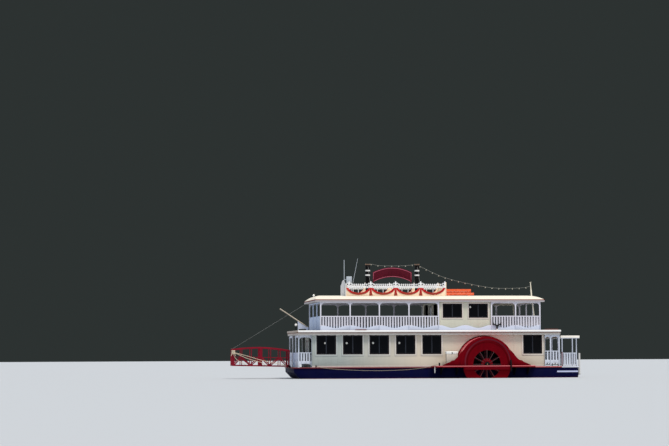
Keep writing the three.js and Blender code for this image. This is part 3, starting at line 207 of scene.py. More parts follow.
worn_fibre = rope_fibre("rope_fibre", (0.42, 0.37, 0.29), (0.16, 0.13, 0.10), 14)
pale_fibre = rope_fibre("pale_fibre", (0.85, 0.72, 0.55), (0.42, 0.33, 0.24), 18)
made_fast("mooring_rope", ROPE_ROUTE, ROPE_THICK, worn_fibre, "boat", "mooring_line")
for number, route in enumerate(LINES_AT_GANGWAY):
    made_fast(f"gangway_line_{number}", route, LINE_THICK, pale_fibre, "gangway")


# Stage: a plain pale floor at the waterline, a soft sky with a plain slate backdrop, and one
# large soft sun, high off the boat's port side, that falls on decks, roofs and edges.
bpy.ops.mesh.primitive_plane_add(size=600, location=(0, 60, 0))
floor = bpy.context.object
floor.name = "floor"
floor_finish = bpy.data.materials.new("pale_floor")
floor_finish.use_nodes = True
feed(floor_finish, shader_of(floor_finish), {
    "Base Color": (0.50, 0.52, 0.54), "Roughness": 0.9, "Specular IOR Level": 0.2})
floor.data.materials.append(floor_finish)

sky = bpy.data.worlds.new("soft_sky")
sky.use_nodes = True
sky_nodes = sky.node_tree.nodes
feed(sky, sky_nodes["Background"], {"Color": (0.78, 0.86, 1.0), "Strength": 0.62})
backdrop = add_node(sky, "ShaderNodeBackground", {"Color": (0.026, 0.032, 0.031)})
seen = sky_nodes.new("ShaderNodeLightPath")
either = add_node(sky, "ShaderNodeMixShader", {
    "Fac": seen.outputs["Is Camera Ray"],
    1: sky_nodes["Background"].outputs[0], 2: backdrop.outputs[0]})
feed(sky, sky_nodes["World Output"], {"Surface": either.outputs[0]})
bpy.context.scene.world = sky
bpy.context.scene.view_settings.view_transform = "Standard"
bpy.ops.object.light_add(type="SUN", rotation=(math.radians(20), math.radians(14), 0))
sun = bpy.context.object
sun.data.energy = 2.7
sun.data.angle = math.radians(12)
sun.data.color = (1.0, 0.95, 0.86)


# Hull: welded steel plates on a bar keel, round at the bilge and raked at the bow, painted a
# dull navy with a thin red boot-top at the waterline and a white stripe on each quarter.
BOOT_TOP = 0.035
STRIPE_X = (9.48, 11.26)
STRIPE_Z = (0.41, 0.53)
PLATE_LENGTH = 2.4
PLATE_HEIGHT = 0.62


def alone(piece):
    """Selects a piece and nothing else, and works on it."""
    bpy.ops.object.select_all(action="DESELECT")
    piece.select_set(True)
    bpy.context.view_layer.objects.active = piece


def settled(piece):
    """Fixes a new piece's place, turn and size in its mesh."""
    alone(piece)
    bpy.ops.object.transform_apply(location=True, rotation=True, scale=True)
    return piece


def edit_all(piece):
    """Takes a piece alone into edit mode with all of it selected."""
    alone(piece)
    bpy.ops.object.mode_set(mode="EDIT")
    bpy.ops.mesh.select_all(action="SELECT")


def eased(piece, edge, segments=2, angle=35, clamp=True):
    """Eases a piece's hard edges by a small round and smooths what is round already. Clamp
    holds the round back where edges crowd each other."""
    alone(piece)
    if edge:
        bevel = piece.modifiers.new("eased_edges", "BEVEL")
        bevel.width = edge
        bevel.segments = segments
        bevel.limit_method = "ANGLE"
        bevel.angle_limit = math.radians(angle)
        bevel.harden_normals = False
        bevel.use_clamp_overlap = clamp
        bpy.ops.object.modifier_apply(modifier=bevel.name)
        edit_all(piece)
        bpy.ops.mesh.remove_doubles(threshold=0.00002)
        bpy.ops.object.mode_set(mode="OBJECT")
    bpy.ops.object.shade_smooth_by_angle(angle=math.radians(angle))
    return piece


def dressed(node, finish, body="boat", edge=0.006, angle=35, segments=2, clamp=True):
    """A welded copy of a solid, with eased edges, that stands for it in its finish."""
    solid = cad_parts[node]
    piece = bpy.data.objects.new(node + "_dressed", solid.data.copy())
    bpy.context.scene.collection.objects.link(piece)
    edit_all(piece)
    bpy.ops.mesh.remove_doubles(threshold=0.0001)
    bpy.ops.mesh.dissolve_limited(angle_limit=math.radians(1))
    bpy.ops.object.mode_set(mode="OBJECT")
    eased(piece, edge, segments, angle, clamp)
    piece.data.materials.clear()
    piece.data.materials.append(finish)
    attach(piece, body)
    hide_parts(node)
    return piece


def both_sides(node, finish, **how):
    """The port and starboard copies of a pair of like solids."""
    return [dressed(f"{node}_{side}", finish, **how) for side in ("port", "starboard")]


def mixed(material, factor, under, over, how="MIX"):
    """The socket of one colour laid over another."""
    mix = material.node_tree.nodes.new("ShaderNodeMix")
    mix.data_type = "RGBA"
    mix.blend_type = how
    return feed(material, mix, {"Factor": factor, "A": under, "B": over}).outputs["Result"]


def worn_paint(name, slot, colour, soiled, roughness=0.5, soiling=0.5, streak=0.25, bump=0.08,
               shine=0.2):
    """Brushed marine paint: broad fading, streaks run down by rain, and a slight orange peel."""
    material, shader = new_finish(name, slot)
    place = place_on(material)
    stretch = add_node(material, "ShaderNodeMapping", {
        "Vector": place, "Scale": (2.2, 2.2, streak)})
    runs = add_node(material, "ShaderNodeTexNoise", {
        "Vector": stretch.outputs["Vector"], "Scale": 2.0, "Detail": 6.0, "Roughness": 0.6})
    spread = add_node(material, "ShaderNodeMapRange", {
        "Value": runs.outputs["Fac"], "From Min": 0.42, "From Max": 0.75, "To Max": soiling})
    sheen = add_node(material, "ShaderNodeMapRange", {
        "Value": runs.outputs["Fac"], "To Min": roughness - 0.08, "To Max": roughness + 0.15})
    peel = add_node(material, "ShaderNodeTexNoise", {
        "Vector": place, "Scale": 35.0, "Detail": 3.0})
    raised = add_node(material, "ShaderNodeBump", {
        "Height": peel.outputs["Fac"], "Strength": bump, "Distance": 0.01})
    raised.name = "relief"
    feed(material, shader, {
        "Base Color": mixed(material, spread.outputs["Result"], colour, soiled),
        "Roughness": sheen.outputs["Result"], "Specular IOR Level": shine,
        "Normal": raised.outputs["Normal"]})
    return material


def paint_over(material, inside, over, how="MIX"):
    """Lays a second colour over a finish where a 0 to 1 socket says so."""
    shader = shader_of(material)
    under = shader.inputs["Base Color"].links[0].from_socket
    feed(material, shader, {"Base Color": mixed(material, inside, under, over, how)})


def maths(material, operation, *values):
    """The socket of one operation on other sockets or numbers."""
    node = add_node(material, "ShaderNodeMath", dict(enumerate(values)))
    node.operation = operation
    return node.outputs[0]


def between(material, sockets):
    """One where each socket's value lies inside its two limits, and nought elsewhere."""
    inside = None
    for value, low, high in sockets:
        for limit, test in ((low, "GREATER_THAN"), (high, "LESS_THAN")):
            check = maths(material, test, value, limit)
            inside = check if inside is None else maths(material, "MULTIPLY", inside, check)
    return inside


def axes_of(material):
    """The x, y and z of the place on the boat that is being painted."""
    return add_node(material, "ShaderNodeSeparateXYZ", {"Vector": place_on(material)}).outputs


def painted_area(material, colour, **limits):
    """Paints over part of a finish: limits give the lowest and highest x, y or z of the area."""
    axes = axes_of(material)
    inside = between(material, [(axes[axis.upper()], *pair) for axis, pair in limits.items()])
    paint_over(material, inside, colour)


def add_relief(material, height, strength, depth):
    """Adds a raised or sunk pattern under a paint's own slight relief."""
    cut = add_node(material, "ShaderNodeBump", {
        "Height": height, "Strength": strength, "Distance": depth})
    relief = material.node_tree.nodes["relief"]
    if relief.inputs["Normal"].is_linked:
        feed(material, cut, {"Normal": relief.inputs["Normal"].links[0].from_socket})
    feed(material, relief, {"Normal": cut.outputs["Normal"]})


def plated(material, length, height):
    """Shows the welds between steel plates laid like bricks, as slight raised lines."""
    upright = add_node(material, "ShaderNodeMapping", {
        "Vector": place_on(material), "Rotation": (math.radians(-90), 0, 0)})
    plates = add_node(material, "ShaderNodeTexBrick", {
        "Vector": upright.outputs["Vector"], "Scale": 1.0, "Brick Width": length,
        "Row Height": height, "Mortar Size": 0.006})
    add_relief(material, plates.outputs["Fac"], 0.8, 0.004)


hull_paint = worn_paint("hull_navy", "hull_paint", (0.0006, 0.0012, 0.032), (0.004, 0.005, 0.026),
                        0.55, 0.6, shine=0.06)
plated(hull_paint, PLATE_LENGTH, PLATE_HEIGHT)
painted_area(hull_paint, (0.09, 0.002, 0.012), z=(-2.0, BOOT_TOP))
painted_area(hull_paint, (0.52, 0.55, 0.76), x=STRIPE_X, z=STRIPE_Z)
dressed("hull", hull_paint, edge=0.02)


# Main deck and guards: laid planks inside a dark red rubbing strip, with a pale pink line along
# its lip that is painted highlight, brighter aft. The guard round each paddle wheel is the same,
# with the same painted highlight on its lip, on steel knees painted black as painted shade under
# the guard, with two black mooring bollards, a black fender post at its after corner and a small
# white fender hung near the forward one.
PLANK = 0.14
CAULK_SHARE = 0.07
DECK_FITTINGS = 0.865
STEM_FITTINGS = -11.02
GUARD_TOP = 0.95
GUARD_FITTINGS = 0.955
KNEES_UNDER = 0.815
KNEES_IN = 4.39
STRIP_LIP_HIGHLIGHT = (0.842, 0.870)
GUARD_LIP_HIGHLIGHT = (0.905, 0.942)
FENDER_AT = (-0.300, -4.180)
FENDER_UP = (0.400, 0.500, 0.740, 0.910)
FENDER_RADIUS = 0.042
FENDER_POST = ((5.540, -4.530, 0.500), (5.640, -4.455, 1.260))
POST_HOOP = ((5.520, -4.545), (5.660, -4.4505))
HOOPS_UP = [(0.800, 0.860), (0.600, 0.650)]
WHITE_SHEER_FROM = 9.86


def laid_planks(material, colour, seam):
    """Lays planks over the upper faces of a painted piece, with dark caulked seams."""
    nodes = material.node_tree.nodes
    count = maths(material, "DIVIDE", axes_of(material)["Y"], PLANK)
    caulk = maths(material, "LESS_THAN", maths(material, "FRACT", count), CAULK_SHARE)
    each = nodes.new("ShaderNodeTexWhiteNoise")
    each.noise_dimensions = "1D"
    feed(material, each, {"W": maths(material, "FLOOR", count)})
    grain = add_node(material, "ShaderNodeTexNoise", {
        "Vector": place_on(material), "Scale": 6.0, "Detail": 8.0})
    vary = maths(material, "MULTIPLY", each.outputs["Value"], grain.outputs["Fac"])
    timber = mixed(material, vary, colour, [c * 0.55 for c in colour])
    facing = add_node(material, "ShaderNodeSeparateXYZ", {
        "Vector": nodes.new("ShaderNodeNewGeometry").outputs["True Normal"]})
    upward = maths(material, "GREATER_THAN", facing.outputs["Z"], 0.9)
    paint_over(material, upward, mixed(material, caulk, timber, seam))


def second_finish(piece, finish, chosen):
    """Gives another finish to the faces that chosen picks by their middle point."""
    piece.data.materials.append(finish)
    for face in piece.data.polygons:
        if chosen(face.center):
            face.material_index = len(piece.data.materials) - 1


def fitted(piece, name, finish, edge=0.006, body="boat", both=True, angle=35, segments=2):
    """Fixes a new piece's place in its mesh, eases its edges and gives it its finish; both
    makes a like one on the other side of the boat."""
    piece.name = name
    eased(settled(piece), edge, segments, angle)
    if both:
        other = piece.modifiers.new("other_side", "MIRROR")
        other.use_axis = (False, True, False)
        bpy.ops.object.modifier_apply(modifier=other.name)
    piece.data.materials.clear()
    piece.data.materials.append(finish)
    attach(piece, body)
    return piece


def squared(low, high):
    """Squared stuff between two corners, not yet eased."""
    middle = [(a + b) / 2 for a, b in zip(low, high)]
    bpy.ops.mesh.primitive_cube_add(size=1, location=middle,
                                    scale=[b - a for a, b in zip(low, high)])
    return bpy.context.object


def block(name, low, high, finish, edge=0.006, **how):
    """A squared length between two corners, with its edges eased."""
    return fitted(squared(low, high), name, finish, edge, **how)


def turned(start, end, radius, tip=None, sides=20):
    """A round bar between two points, with its own radius at the far end, not yet eased."""
    run = Vector(end) - Vector(start)
    bpy.ops.mesh.primitive_cone_add(
        vertices=sides, radius1=radius, radius2=radius if tip is None else tip,
        depth=run.length, location=Vector(start) + run / 2,
        rotation=run.to_track_quat("Z", "Y").to_euler())
    return bpy.context.object


def as_one(*pieces):
    """Joins pieces in one mesh, the first one's."""
    for piece in pieces:
        settled(piece)
    for piece in pieces:
        piece.select_set(True)
    bpy.context.view_layer.objects.active = pieces[0]
    bpy.ops.object.join()
    return pieces[0]


def set_out(piece, steps):
    """Copies a piece to more places, each by its own step from it, all in one mesh."""
    copies = [piece]
    for step in steps:
        alone(piece)
        bpy.ops.object.duplicate()
        bpy.ops.transform.translate(value=step)
        copies.append(bpy.context.object)
    return as_one(*copies)


plank_brown = (0.20, 0.15, 0.11)
caulk_brown = (0.03, 0.025, 0.02)
deck_paint = worn_paint("deck_edge_red", "sheer_paint", (0.105, 0.004, 0.010),
                        (0.05, 0.004, 0.008), 0.5, 0.6)
# Painted highlight: a pale pink line along the rubbing strip's lip, brighter aft; the white after
# sheer is paint.
painted_area(deck_paint, (0.52, 0.12, 0.14), x=(-11.2, -0.3), z=STRIP_LIP_HIGHLIGHT)
painted_area(deck_paint, (0.78, 0.20, 0.22), x=(7.2, WHITE_SHEER_FROM), z=(0.815, 0.870))
painted_area(deck_paint, (0.72, 0.74, 0.84), x=(WHITE_SHEER_FROM, 11.5), z=(0.78, 0.870))
laid_planks(deck_paint, plank_brown, caulk_brown)
guard_paint = worn_paint("guard_edge_red", "sheer_paint", (0.155, 0.0006, 0.005),
                         (0.095, 0.0008, 0.005), 0.5, 0.5, shine=0.04)
# Painted highlight: a bright pink line along the guard's lip.
painted_area(guard_paint, (0.95, 0.24, 0.26), z=GUARD_LIP_HIGHLIGHT)
laid_planks(guard_paint, plank_brown, caulk_brown)
iron_black = worn_paint("iron_black", "bare_iron", (0.004, 0.004, 0.006), (0.016, 0.012, 0.010),
                        0.55, 0.4, shine=0.1)
fender_white = worn_paint("fender_white", "white_paint", (0.70, 0.69, 0.68), (0.36, 0.34, 0.31),
                          0.6, 0.7)

deck = dressed("main_deck", deck_paint, edge=0.018)
second_finish(deck, iron_black, lambda p: p.z > DECK_FITTINGS or p.x < STEM_FITTINGS)
for guard in both_sides("sponson", guard_paint, edge=0.008, clamp=False):
    # The knees under the guard are black as painted shade; the fittings on top are black iron.
    second_finish(guard, iron_black, lambda p: (
        p.z > GUARD_FITTINGS or (p.z < KNEES_UNDER and abs(p.y) < KNEES_IN)))
hoop_near, hoop_far = POST_HOOP
hoops = [squared((*hoop_near, low), (*hoop_far, high)) for low, high in HOOPS_UP]
fitted(as_one(squared(*FENDER_POST), *hoops), "guard_fender_post", iron_black, 0.012)
tip, foot, head, ring = [(*FENDER_AT, up) for up in FENDER_UP]
small_fender = as_one(turned(foot, tip, FENDER_RADIUS, 0.024), turned(head, foot, FENDER_RADIUS),
                      turned(ring, head, 0.012, 0.036))
fitted(small_fender, "guard_small_fender", fender_white, 0.008, angle=25)


# Rudder: a flat iron blade hung under the counter on a round upright stock, which turns in the
# hull.
dressed("rudder", iron_black, body="rudder", edge=0.008)


# Engine: one box casing amidships, low in the saloon, with a lifting lid and two side hatches
# that show as raised panels. It drives the paddle shaft, a plain turned bar across the hull.
ENGINE_LID = ((1.960, -0.740, 2.000), (3.440, 0.740, 2.045))
HATCH = ((2.020, -0.825, 1.050), (2.640, -0.800, 1.850))
HATCH_PITCH = 0.72
engine_grey = worn_paint("engine_casing", "bare_iron", (0.055, 0.065, 0.06), (0.02, 0.02, 0.018),
                         0.5, 0.6)
dressed("engine", engine_grey, edge=0.03)
block("engine_lid", *ENGINE_LID, engine_grey, 0.015, both=False)
hatches = set_out(squared(*HATCH), [(HATCH_PITCH, 0, 0)])
fitted(hatches, "engine_hatches", engine_grey, 0.01)
dressed("paddle_shaft", iron_black, body="paddle_wheels", edge=0.003, angle=30)


# Paddle wheels: flat red timber floats set across iron rims and arms, one wheel on each side.
# Both are fixed on the one shaft and turn with it.
PADDLE_AXIS = (3.75, 1.05)
wheel_red = worn_paint("wheel_red", "red_paint", (0.105, 0.003, 0.010), (0.035, 0.010, 0.014),
                       0.5, 0.7)
both_sides("paddle_wheel", wheel_red, body="paddle_wheels", edge=0.005)


# Paddle boxes: a bent red casing over each wheel, a cover strip at the boat's side, and a face
# cut with a half fan of twelve slots. The casing's red is painted far lighter than the face's as
# painted highlight. Rings painted on the face frame the fan: a mauve band that is painted
# reflection and a darker line that is painted shade. The ribs between the slots are painted black
# as painted shade, so only the fan's thin bars show there; they meet at a black hub with a brass
# cap. Behind the slots a black half disc on the boat's side is painted shade.
RING_CENTRE = (3.810, 1.185)
RING_REFLECTION = (1.710, 1.815)
STEP_SHADE = (1.545, 1.680)
FAN_SHADE_RING = (0.455, 1.075)
FAN_BARS = (0.26, 1.105)
FACE_OUT = 4.276
HUB_FACE = 4.346
CASING_RADIUS = 2.120
STRIP_WIDE = 0.090
STRIP_DEEP = 0.066
STRIP_OUT = 3.185
LINER_OUT = 3.158
LINER_RADIUS = 2.040
LINER_FOOT = 0.872
BAR_COUNT = 12
BAR_HALF = 0.012


def painted_ring(material, colour, inner, outer, centre=PADDLE_AXIS):
    """Paints a round band above the guard, between two radii about a centre's x and z."""
    flat = add_node(material, "ShaderNodeMapping", {
        "Vector": place_on(material), "Location": (-centre[0], 0, -centre[1]),
        "Scale": (1, 0, 1)})
    away = add_node(material, "ShaderNodeVectorMath", {0: flat.outputs["Vector"]})
    away.operation = "LENGTH"
    above = (axes_of(material)["Z"], GUARD_TOP, 10.0)
    paint_over(material, between(material, [(away.outputs["Value"], inner, outer), above]), colour)


def on_shaft(out):
    """A place on the shaft's line, so far out from the middle of the boat to port."""
    return (PADDLE_AXIS[0], -out, PADDLE_AXIS[1])


def cut_off(piece, place, side):
    """Cuts a closed piece at a plane, drops what lies on its side and closes the cut."""
    edit_all(settled(piece))
    bpy.ops.mesh.bisect(plane_co=place, plane_no=side, clear_outer=True, use_fill=True)
    bpy.ops.object.mode_set(mode="OBJECT")


# Painted highlight: the casing is a much lighter, pinker red than the face.
casing_highlight_red = worn_paint("casing_highlight_red", "red_paint", (0.72, 0.095, 0.125), (0.52, 0.050, 0.070),
                        0.35, 0.4, shine=0.3)
feed(casing_highlight_red, shader_of(casing_highlight_red), {"Coat Weight": 0.50, "Coat Roughness": 0.15})
face_red = worn_paint("face_red", "red_paint", (0.165, 0.0004, 0.0045), (0.095, 0.0005, 0.0045),
                      0.5, 0.5, shine=0.03)
# Painted reflection: a mauve band on the ring above the guard. Painted shade: a darker line inside
# it, under its step.
painted_ring(face_red, (0.150, 0.016, 0.028), *RING_REFLECTION, RING_CENTRE)
painted_ring(face_red, (0.105, 0.0003, 0.0025), *STEP_SHADE, RING_CENTRE)
# Painted shade: the face's ribs between the slots are near black, so the slots read dark and wide.
painted_ring(face_red, (0.010, 0.001, 0.002), *FAN_SHADE_RING)
bar_grey = worn_paint("fan_bar_grey", "red_paint", (0.14, 0.065, 0.070), (0.08, 0.035, 0.040),
                      0.5, 0.5)
brass = worn_paint("brass_cap", "bare_iron", (0.30, 0.19, 0.07), (0.13, 0.07, 0.025), 0.35, 0.6,
                   shine=0.5)
both_sides("paddle_casing", casing_highlight_red, edge=0.02, segments=3)
both_sides("paddle_face", face_red, edge=0.008)

shaft_at = on_shaft(FACE_OUT)
bpy.ops.mesh.primitive_plane_add(size=1, location=(
    PADDLE_AXIS[0] + CASING_RADIUS + STRIP_WIDE / 2 - 0.010, -STRIP_OUT, PADDLE_AXIS[1]))
cover_strip = bpy.context.object
cover_strip.scale = (STRIP_WIDE, STRIP_DEEP, 1)
edit_all(settled(cover_strip))
bpy.ops.mesh.spin(steps=40, angle=math.pi, center=shaft_at, axis=(0, 1, 0))
bpy.ops.mesh.select_all(action="SELECT")
bpy.ops.mesh.remove_doubles(threshold=0.0001)
bpy.ops.mesh.normals_make_consistent(inside=False)
bpy.ops.object.mode_set(mode="OBJECT")
fitted(cover_strip, "casing_cover_strip", face_red, 0.008)

bars = []
for turn in range(BAR_COUNT):
    bar = squared((shaft_at[0] - BAR_HALF, -FACE_OUT - 0.022, shaft_at[2] + FAN_BARS[0]),
                  (shaft_at[0] + BAR_HALF, -FACE_OUT + 0.004, shaft_at[2] + FAN_BARS[1]))
    alone(bar)
    bpy.ops.transform.rotate(value=2 * math.pi * turn / BAR_COUNT, orient_axis="Y",
                             center_override=shaft_at)
    bars.append(bar)
fitted(as_one(*bars), "fan_bars", bar_grey, 0.005)

hub = as_one(
    turned(on_shaft(HUB_FACE - 0.002), on_shaft(HUB_FACE + 0.030), 0.205, 0.190, 32),
    turned(on_shaft(HUB_FACE + 0.028), on_shaft(HUB_FACE + 0.050), 0.130, 0.115, 32))
fitted(hub, "hub_disc", iron_black, 0.006)
cap = turned(on_shaft(HUB_FACE + 0.045), on_shaft(HUB_FACE + 0.100), 0.048, 0.028, 24)
fitted(cap, "hub_cap", brass, 0.01, segments=3)

# Painted shade: a black half disc on the boat's side inside each box, behind the slots.
bpy.ops.mesh.primitive_cylinder_add(
    vertices=64, radius=LINER_RADIUS, depth=0.012, rotation=(math.pi / 2, 0, 0),
    location=on_shaft(LINER_OUT))
liner = bpy.context.object
cut_off(liner, (0, 0, LINER_FOOT), (0, 0, -1))
fitted(liner, "shade_liner", iron_black, 0.002)


# Saloon: flush panelled walls of painted ply over a pale plinth strip, greyer forward and
# creamier aft, the greyer fore end being painted shade. Each window has a flat pale surround,
# planted on and mitred, with the same painted shade forward.
SALOON_FACE = 3.150
SALOON_ENDS = (-9.600, 8.560)
SALOON_WINDOWS = [(-9.260, -7.750), (-7.220, -5.700), (-5.170, -3.650), (-3.110, -1.610),
                  (-1.060, 0.430), (6.865, 8.365)]
SALOON_SILL = 1.840
SALOON_HEAD = 3.310
SURROUND = 0.110
PLINTH_OUT = 0.025
PLINTH_UP = (0.866, 0.975)
PLINTH_GAP = (1.600, 5.900)
TRIM_PROUD = 0.022
PANEL_WIDTH = 1.22
FORE_SHADE_SPAN = (-7.5, -1.5)


def shade_graded_along(material, colour, start, end):
    """Blends a paint to a second colour along the boat, full at the end place: painted shade."""
    along = add_node(material, "ShaderNodeMapRange", {
        "Value": axes_of(material)["X"], "From Min": start, "From Max": end})
    paint_over(material, along.outputs["Result"], colour)


def panelled(material, width, axis="X"):
    """Sinks a fine upright joint between wall panels, with a thin shade along it."""
    across = maths(material, "FRACT", maths(material, "DIVIDE", axes_of(material)[axis], width))
    joint = add_node(material, "ShaderNodeMapRange", {"Value": across, "From Max": 0.012})
    add_relief(material, joint.outputs["Result"], 0.7, 0.004)
    paint_over(material, 0.25, joint.outputs["Result"], "MULTIPLY")


def upright_sheet(x, z, face):
    """A flat sheet that faces port between its x and z limits, left open for editing."""
    bpy.ops.mesh.primitive_plane_add(size=1, rotation=(math.pi / 2, 0, 0),
                                     location=((x[0] + x[1]) / 2, -face, (z[0] + z[1]) / 2))
    sheet = bpy.context.object
    sheet.scale = (x[1] - x[0], z[1] - z[0], 1)
    edit_all(settled(sheet))
    return sheet


def drawn_out(out):
    """Gives the flat piece that is open for editing its thickness, and closes it."""
    bpy.ops.mesh.select_all(action="SELECT")
    bpy.ops.mesh.extrude_region_move(TRANSFORM_OT_translate={"value": (0, out, 0)})
    bpy.ops.mesh.select_all(action="SELECT")
    bpy.ops.mesh.normals_make_consistent(inside=False)
    bpy.ops.object.mode_set(mode="OBJECT")


def surround(x, z, face, width, proud):
    """A flat trim round an opening, outside its x and z limits, proud of a port wall's face."""
    trim = upright_sheet((x[0] - width, x[1] + width), (z[0] - width, z[1] + width), face)
    bpy.ops.mesh.inset(thickness=width)
    bpy.ops.mesh.delete(type="FACE")
    drawn_out(-proud)
    return trim


wall_paint = worn_paint("wall_cream", "cream_paint", (0.42, 0.455, 0.425), (0.33, 0.35, 0.32),
                        0.6, 0.45, bump=0.05)
shade_graded_along(wall_paint, (0.66, 0.575, 0.465), *FORE_SHADE_SPAN)
panelled(wall_paint, PANEL_WIDTH)
both_sides("saloon_wall", wall_paint, edge=0.004)
dressed("saloon_wall_front", wall_paint, edge=0.004)
dressed("saloon_wall_aft", wall_paint, edge=0.004)
trim_pale = worn_paint("surround_pale", "cream_paint", (0.50, 0.53, 0.51), (0.40, 0.42, 0.40),
                       0.55, 0.35, bump=0.05)
shade_graded_along(trim_pale, (0.76, 0.68, 0.60), *FORE_SHADE_SPAN)
surrounds = [surround(window, (SALOON_SILL, SALOON_HEAD), SALOON_FACE, SURROUND, TRIM_PROUD)
             for window in SALOON_WINDOWS]
fitted(as_one(*surrounds), "saloon_surrounds", trim_pale, 0.005)
plinths = [squared((start, -SALOON_FACE - PLINTH_OUT, PLINTH_UP[0]),
                   (end, -SALOON_FACE, PLINTH_UP[1]))
           for start, end in ((SALOON_ENDS[0], PLINTH_GAP[0]), (PLINTH_GAP[1], SALOON_ENDS[1]))]
plinth_rose = worn_paint("plinth_rose", "cream_paint", (0.66, 0.55, 0.51), (0.46, 0.37, 0.35),
                         0.6, 0.5)
fitted(as_one(*plinths), "saloon_plinth", plinth_rose, 0.008)


# Window glazing: near-black glass in very dark red-brown frames, with a slim blue-grey sash
# bar down the middle of each, and small round white ventilators in four of the panes.
VENTILATORS = [(-8.58, 2.71), (-6.92, 2.71), (-4.88, 2.71), (-2.84, 2.71)]
VENT_RADIUS = 0.085
SALOON_PANE = 3.070
PANE_SKIN = 0.0005
SASH_HALF = 0.024
SASH_OUT = (0.058, 0.070)
SASH_SHORT = 0.05
FRAME_WIDE = 0.02
FRAME_IN = 0.07
FRAME_UP = 0.09
FRAME_GAP = 0.03
FRAME_PROUD = 0.012


def window_glass(name, frame_face):
    """Dark glass behind brown frames: what stands further out than the pane is timber."""
    material = worn_paint(name, "window_glass", (0.020, 0.006, 0.005), (0.010, 0.004, 0.004),
                          0.5, 0.7, shine=0.08)
    glass = maths(material, "LESS_THAN", maths(material, "ABSOLUTE", axes_of(material)["Y"]),
                  frame_face)
    paint_over(material, glass, (0.0015, 0.0018, 0.0030))
    shader = shader_of(material)
    polish = add_node(material, "ShaderNodeMix", {
        "Factor": glass, "A": shader.inputs["Roughness"].links[0].from_socket, "B": 0.10})
    feed(material, shader, {"Roughness": polish.outputs["Result"]})
    return material


def sash_bars(windows, pane, low, high):
    """A slim bar down the middle of each window and a fine frame round each of its panes."""
    bars = []
    for start, end in windows:
        middle = (start + end) / 2
        bars.append(squared((middle - SASH_HALF, -pane - SASH_OUT[1], low + SASH_SHORT),
                            (middle + SASH_HALF, -pane - SASH_OUT[0], high - SASH_SHORT)))
        for near, far in ((start + FRAME_IN, middle - FRAME_GAP),
                          (middle + FRAME_GAP, end - FRAME_IN)):
            bars.append(surround((near + FRAME_WIDE, far - FRAME_WIDE),
                                 (low + FRAME_UP, high - FRAME_UP), pane, FRAME_WIDE,
                                 FRAME_PROUD))
    return as_one(*bars)


def ventilator(x, z, pane):
    """A round ventilator through a pane: a rim, a dished face and a middle boss."""
    return as_one(turned((x, -pane, z), (x, -pane - 0.030, z), VENT_RADIUS, VENT_RADIUS * 0.85),
                  turned((x, -pane - 0.028, z), (x, -pane - 0.045, z), 0.045, 0.020))


both_sides("saloon_glazing", window_glass("saloon_window", SALOON_PANE + PANE_SKIN), edge=0)
sash_grey = worn_paint("sash_grey", "window_glass", (0.026, 0.032, 0.044), (0.012, 0.014, 0.018),
                       0.4, 0.5)
saloon_sashes = sash_bars(SALOON_WINDOWS, SALOON_PANE, SALOON_SILL, SALOON_HEAD)
fitted(saloon_sashes, "saloon_sashes", sash_grey, 0.003)
vent_white = worn_paint("vent_white", "white_paint", (0.70, 0.68, 0.62), (0.45, 0.43, 0.39),
                        0.4, 0.4)
vents = as_one(*[ventilator(x, z, SALOON_PANE) for x, z in VENTILATORS])
fitted(vents, "saloon_ventilators", vent_white, 0.004)


# Doors: varnished brown timber with a glazed upper half, and a brass lever handle on its own
# plate on both faces. Each row gives a door's middle plane, the place of its lock across the
# boat, its foot, and the way its lever points.
DOORS = [
    ("saloon_door_port", -9.560, -0.085, 0.860, -1),
    ("saloon_door_starboard", -9.560, 0.085, 0.860, 1),
    ("saloon_door_aft", 8.520, 0.375, 0.860, -1),
    ("cabin_door_front", 0.230, 0.325, 3.680, -1),
    ("cabin_door_aft", 4.310, 0.325, 3.680, -1),
]
PANE_HALF = 0.006
PANE_UP = 0.7
LEAF_HALF = 0.020
PLATE_THICK = 0.006
PLATE_HALF = 0.025
PLATE_UP = (0.92, 1.14)
LEVER_UP = 1.06
LEVER_OUT = 0.045
LEVER_LONG = 0.110
door_finish = worn_paint("door_timber", "door_timber", (0.075, 0.030, 0.014),
                         (0.028, 0.012, 0.006), 0.35, 0.8, shine=0.4)
door_pane = worn_paint("door_pane", "window_glass", (0.004, 0.005, 0.007), (0.010, 0.010, 0.012),
                       0.15, 0.3, shine=0.4)
for door, x, lock_y, foot, inward in DOORS:
    leaf = dressed(door, door_finish, body=door, edge=0.004)
    second_finish(leaf, door_pane, lambda p: abs(p.x - x) < PANE_HALF and p.z > foot + PANE_UP)
    handle = []
    for face in (-1, 1):
        out = x + face * LEAF_HALF
        near, far = sorted((out, out + face * PLATE_THICK))
        lever = (out + face * LEVER_OUT, lock_y, foot + LEVER_UP)
        handle += [
            squared((near, lock_y - PLATE_HALF, foot + PLATE_UP[0]),
                    (far, lock_y + PLATE_HALF, foot + PLATE_UP[1])),
            turned((out, *lever[1:]), (out + face * 0.050, *lever[1:]), 0.011),
            turned(lever, (lever[0], lock_y + inward * LEVER_LONG, lever[2]), 0.009, 0.007)]
    fitted(as_one(*handle), door + "_handle", brass, 0.003, body=door, both=False)


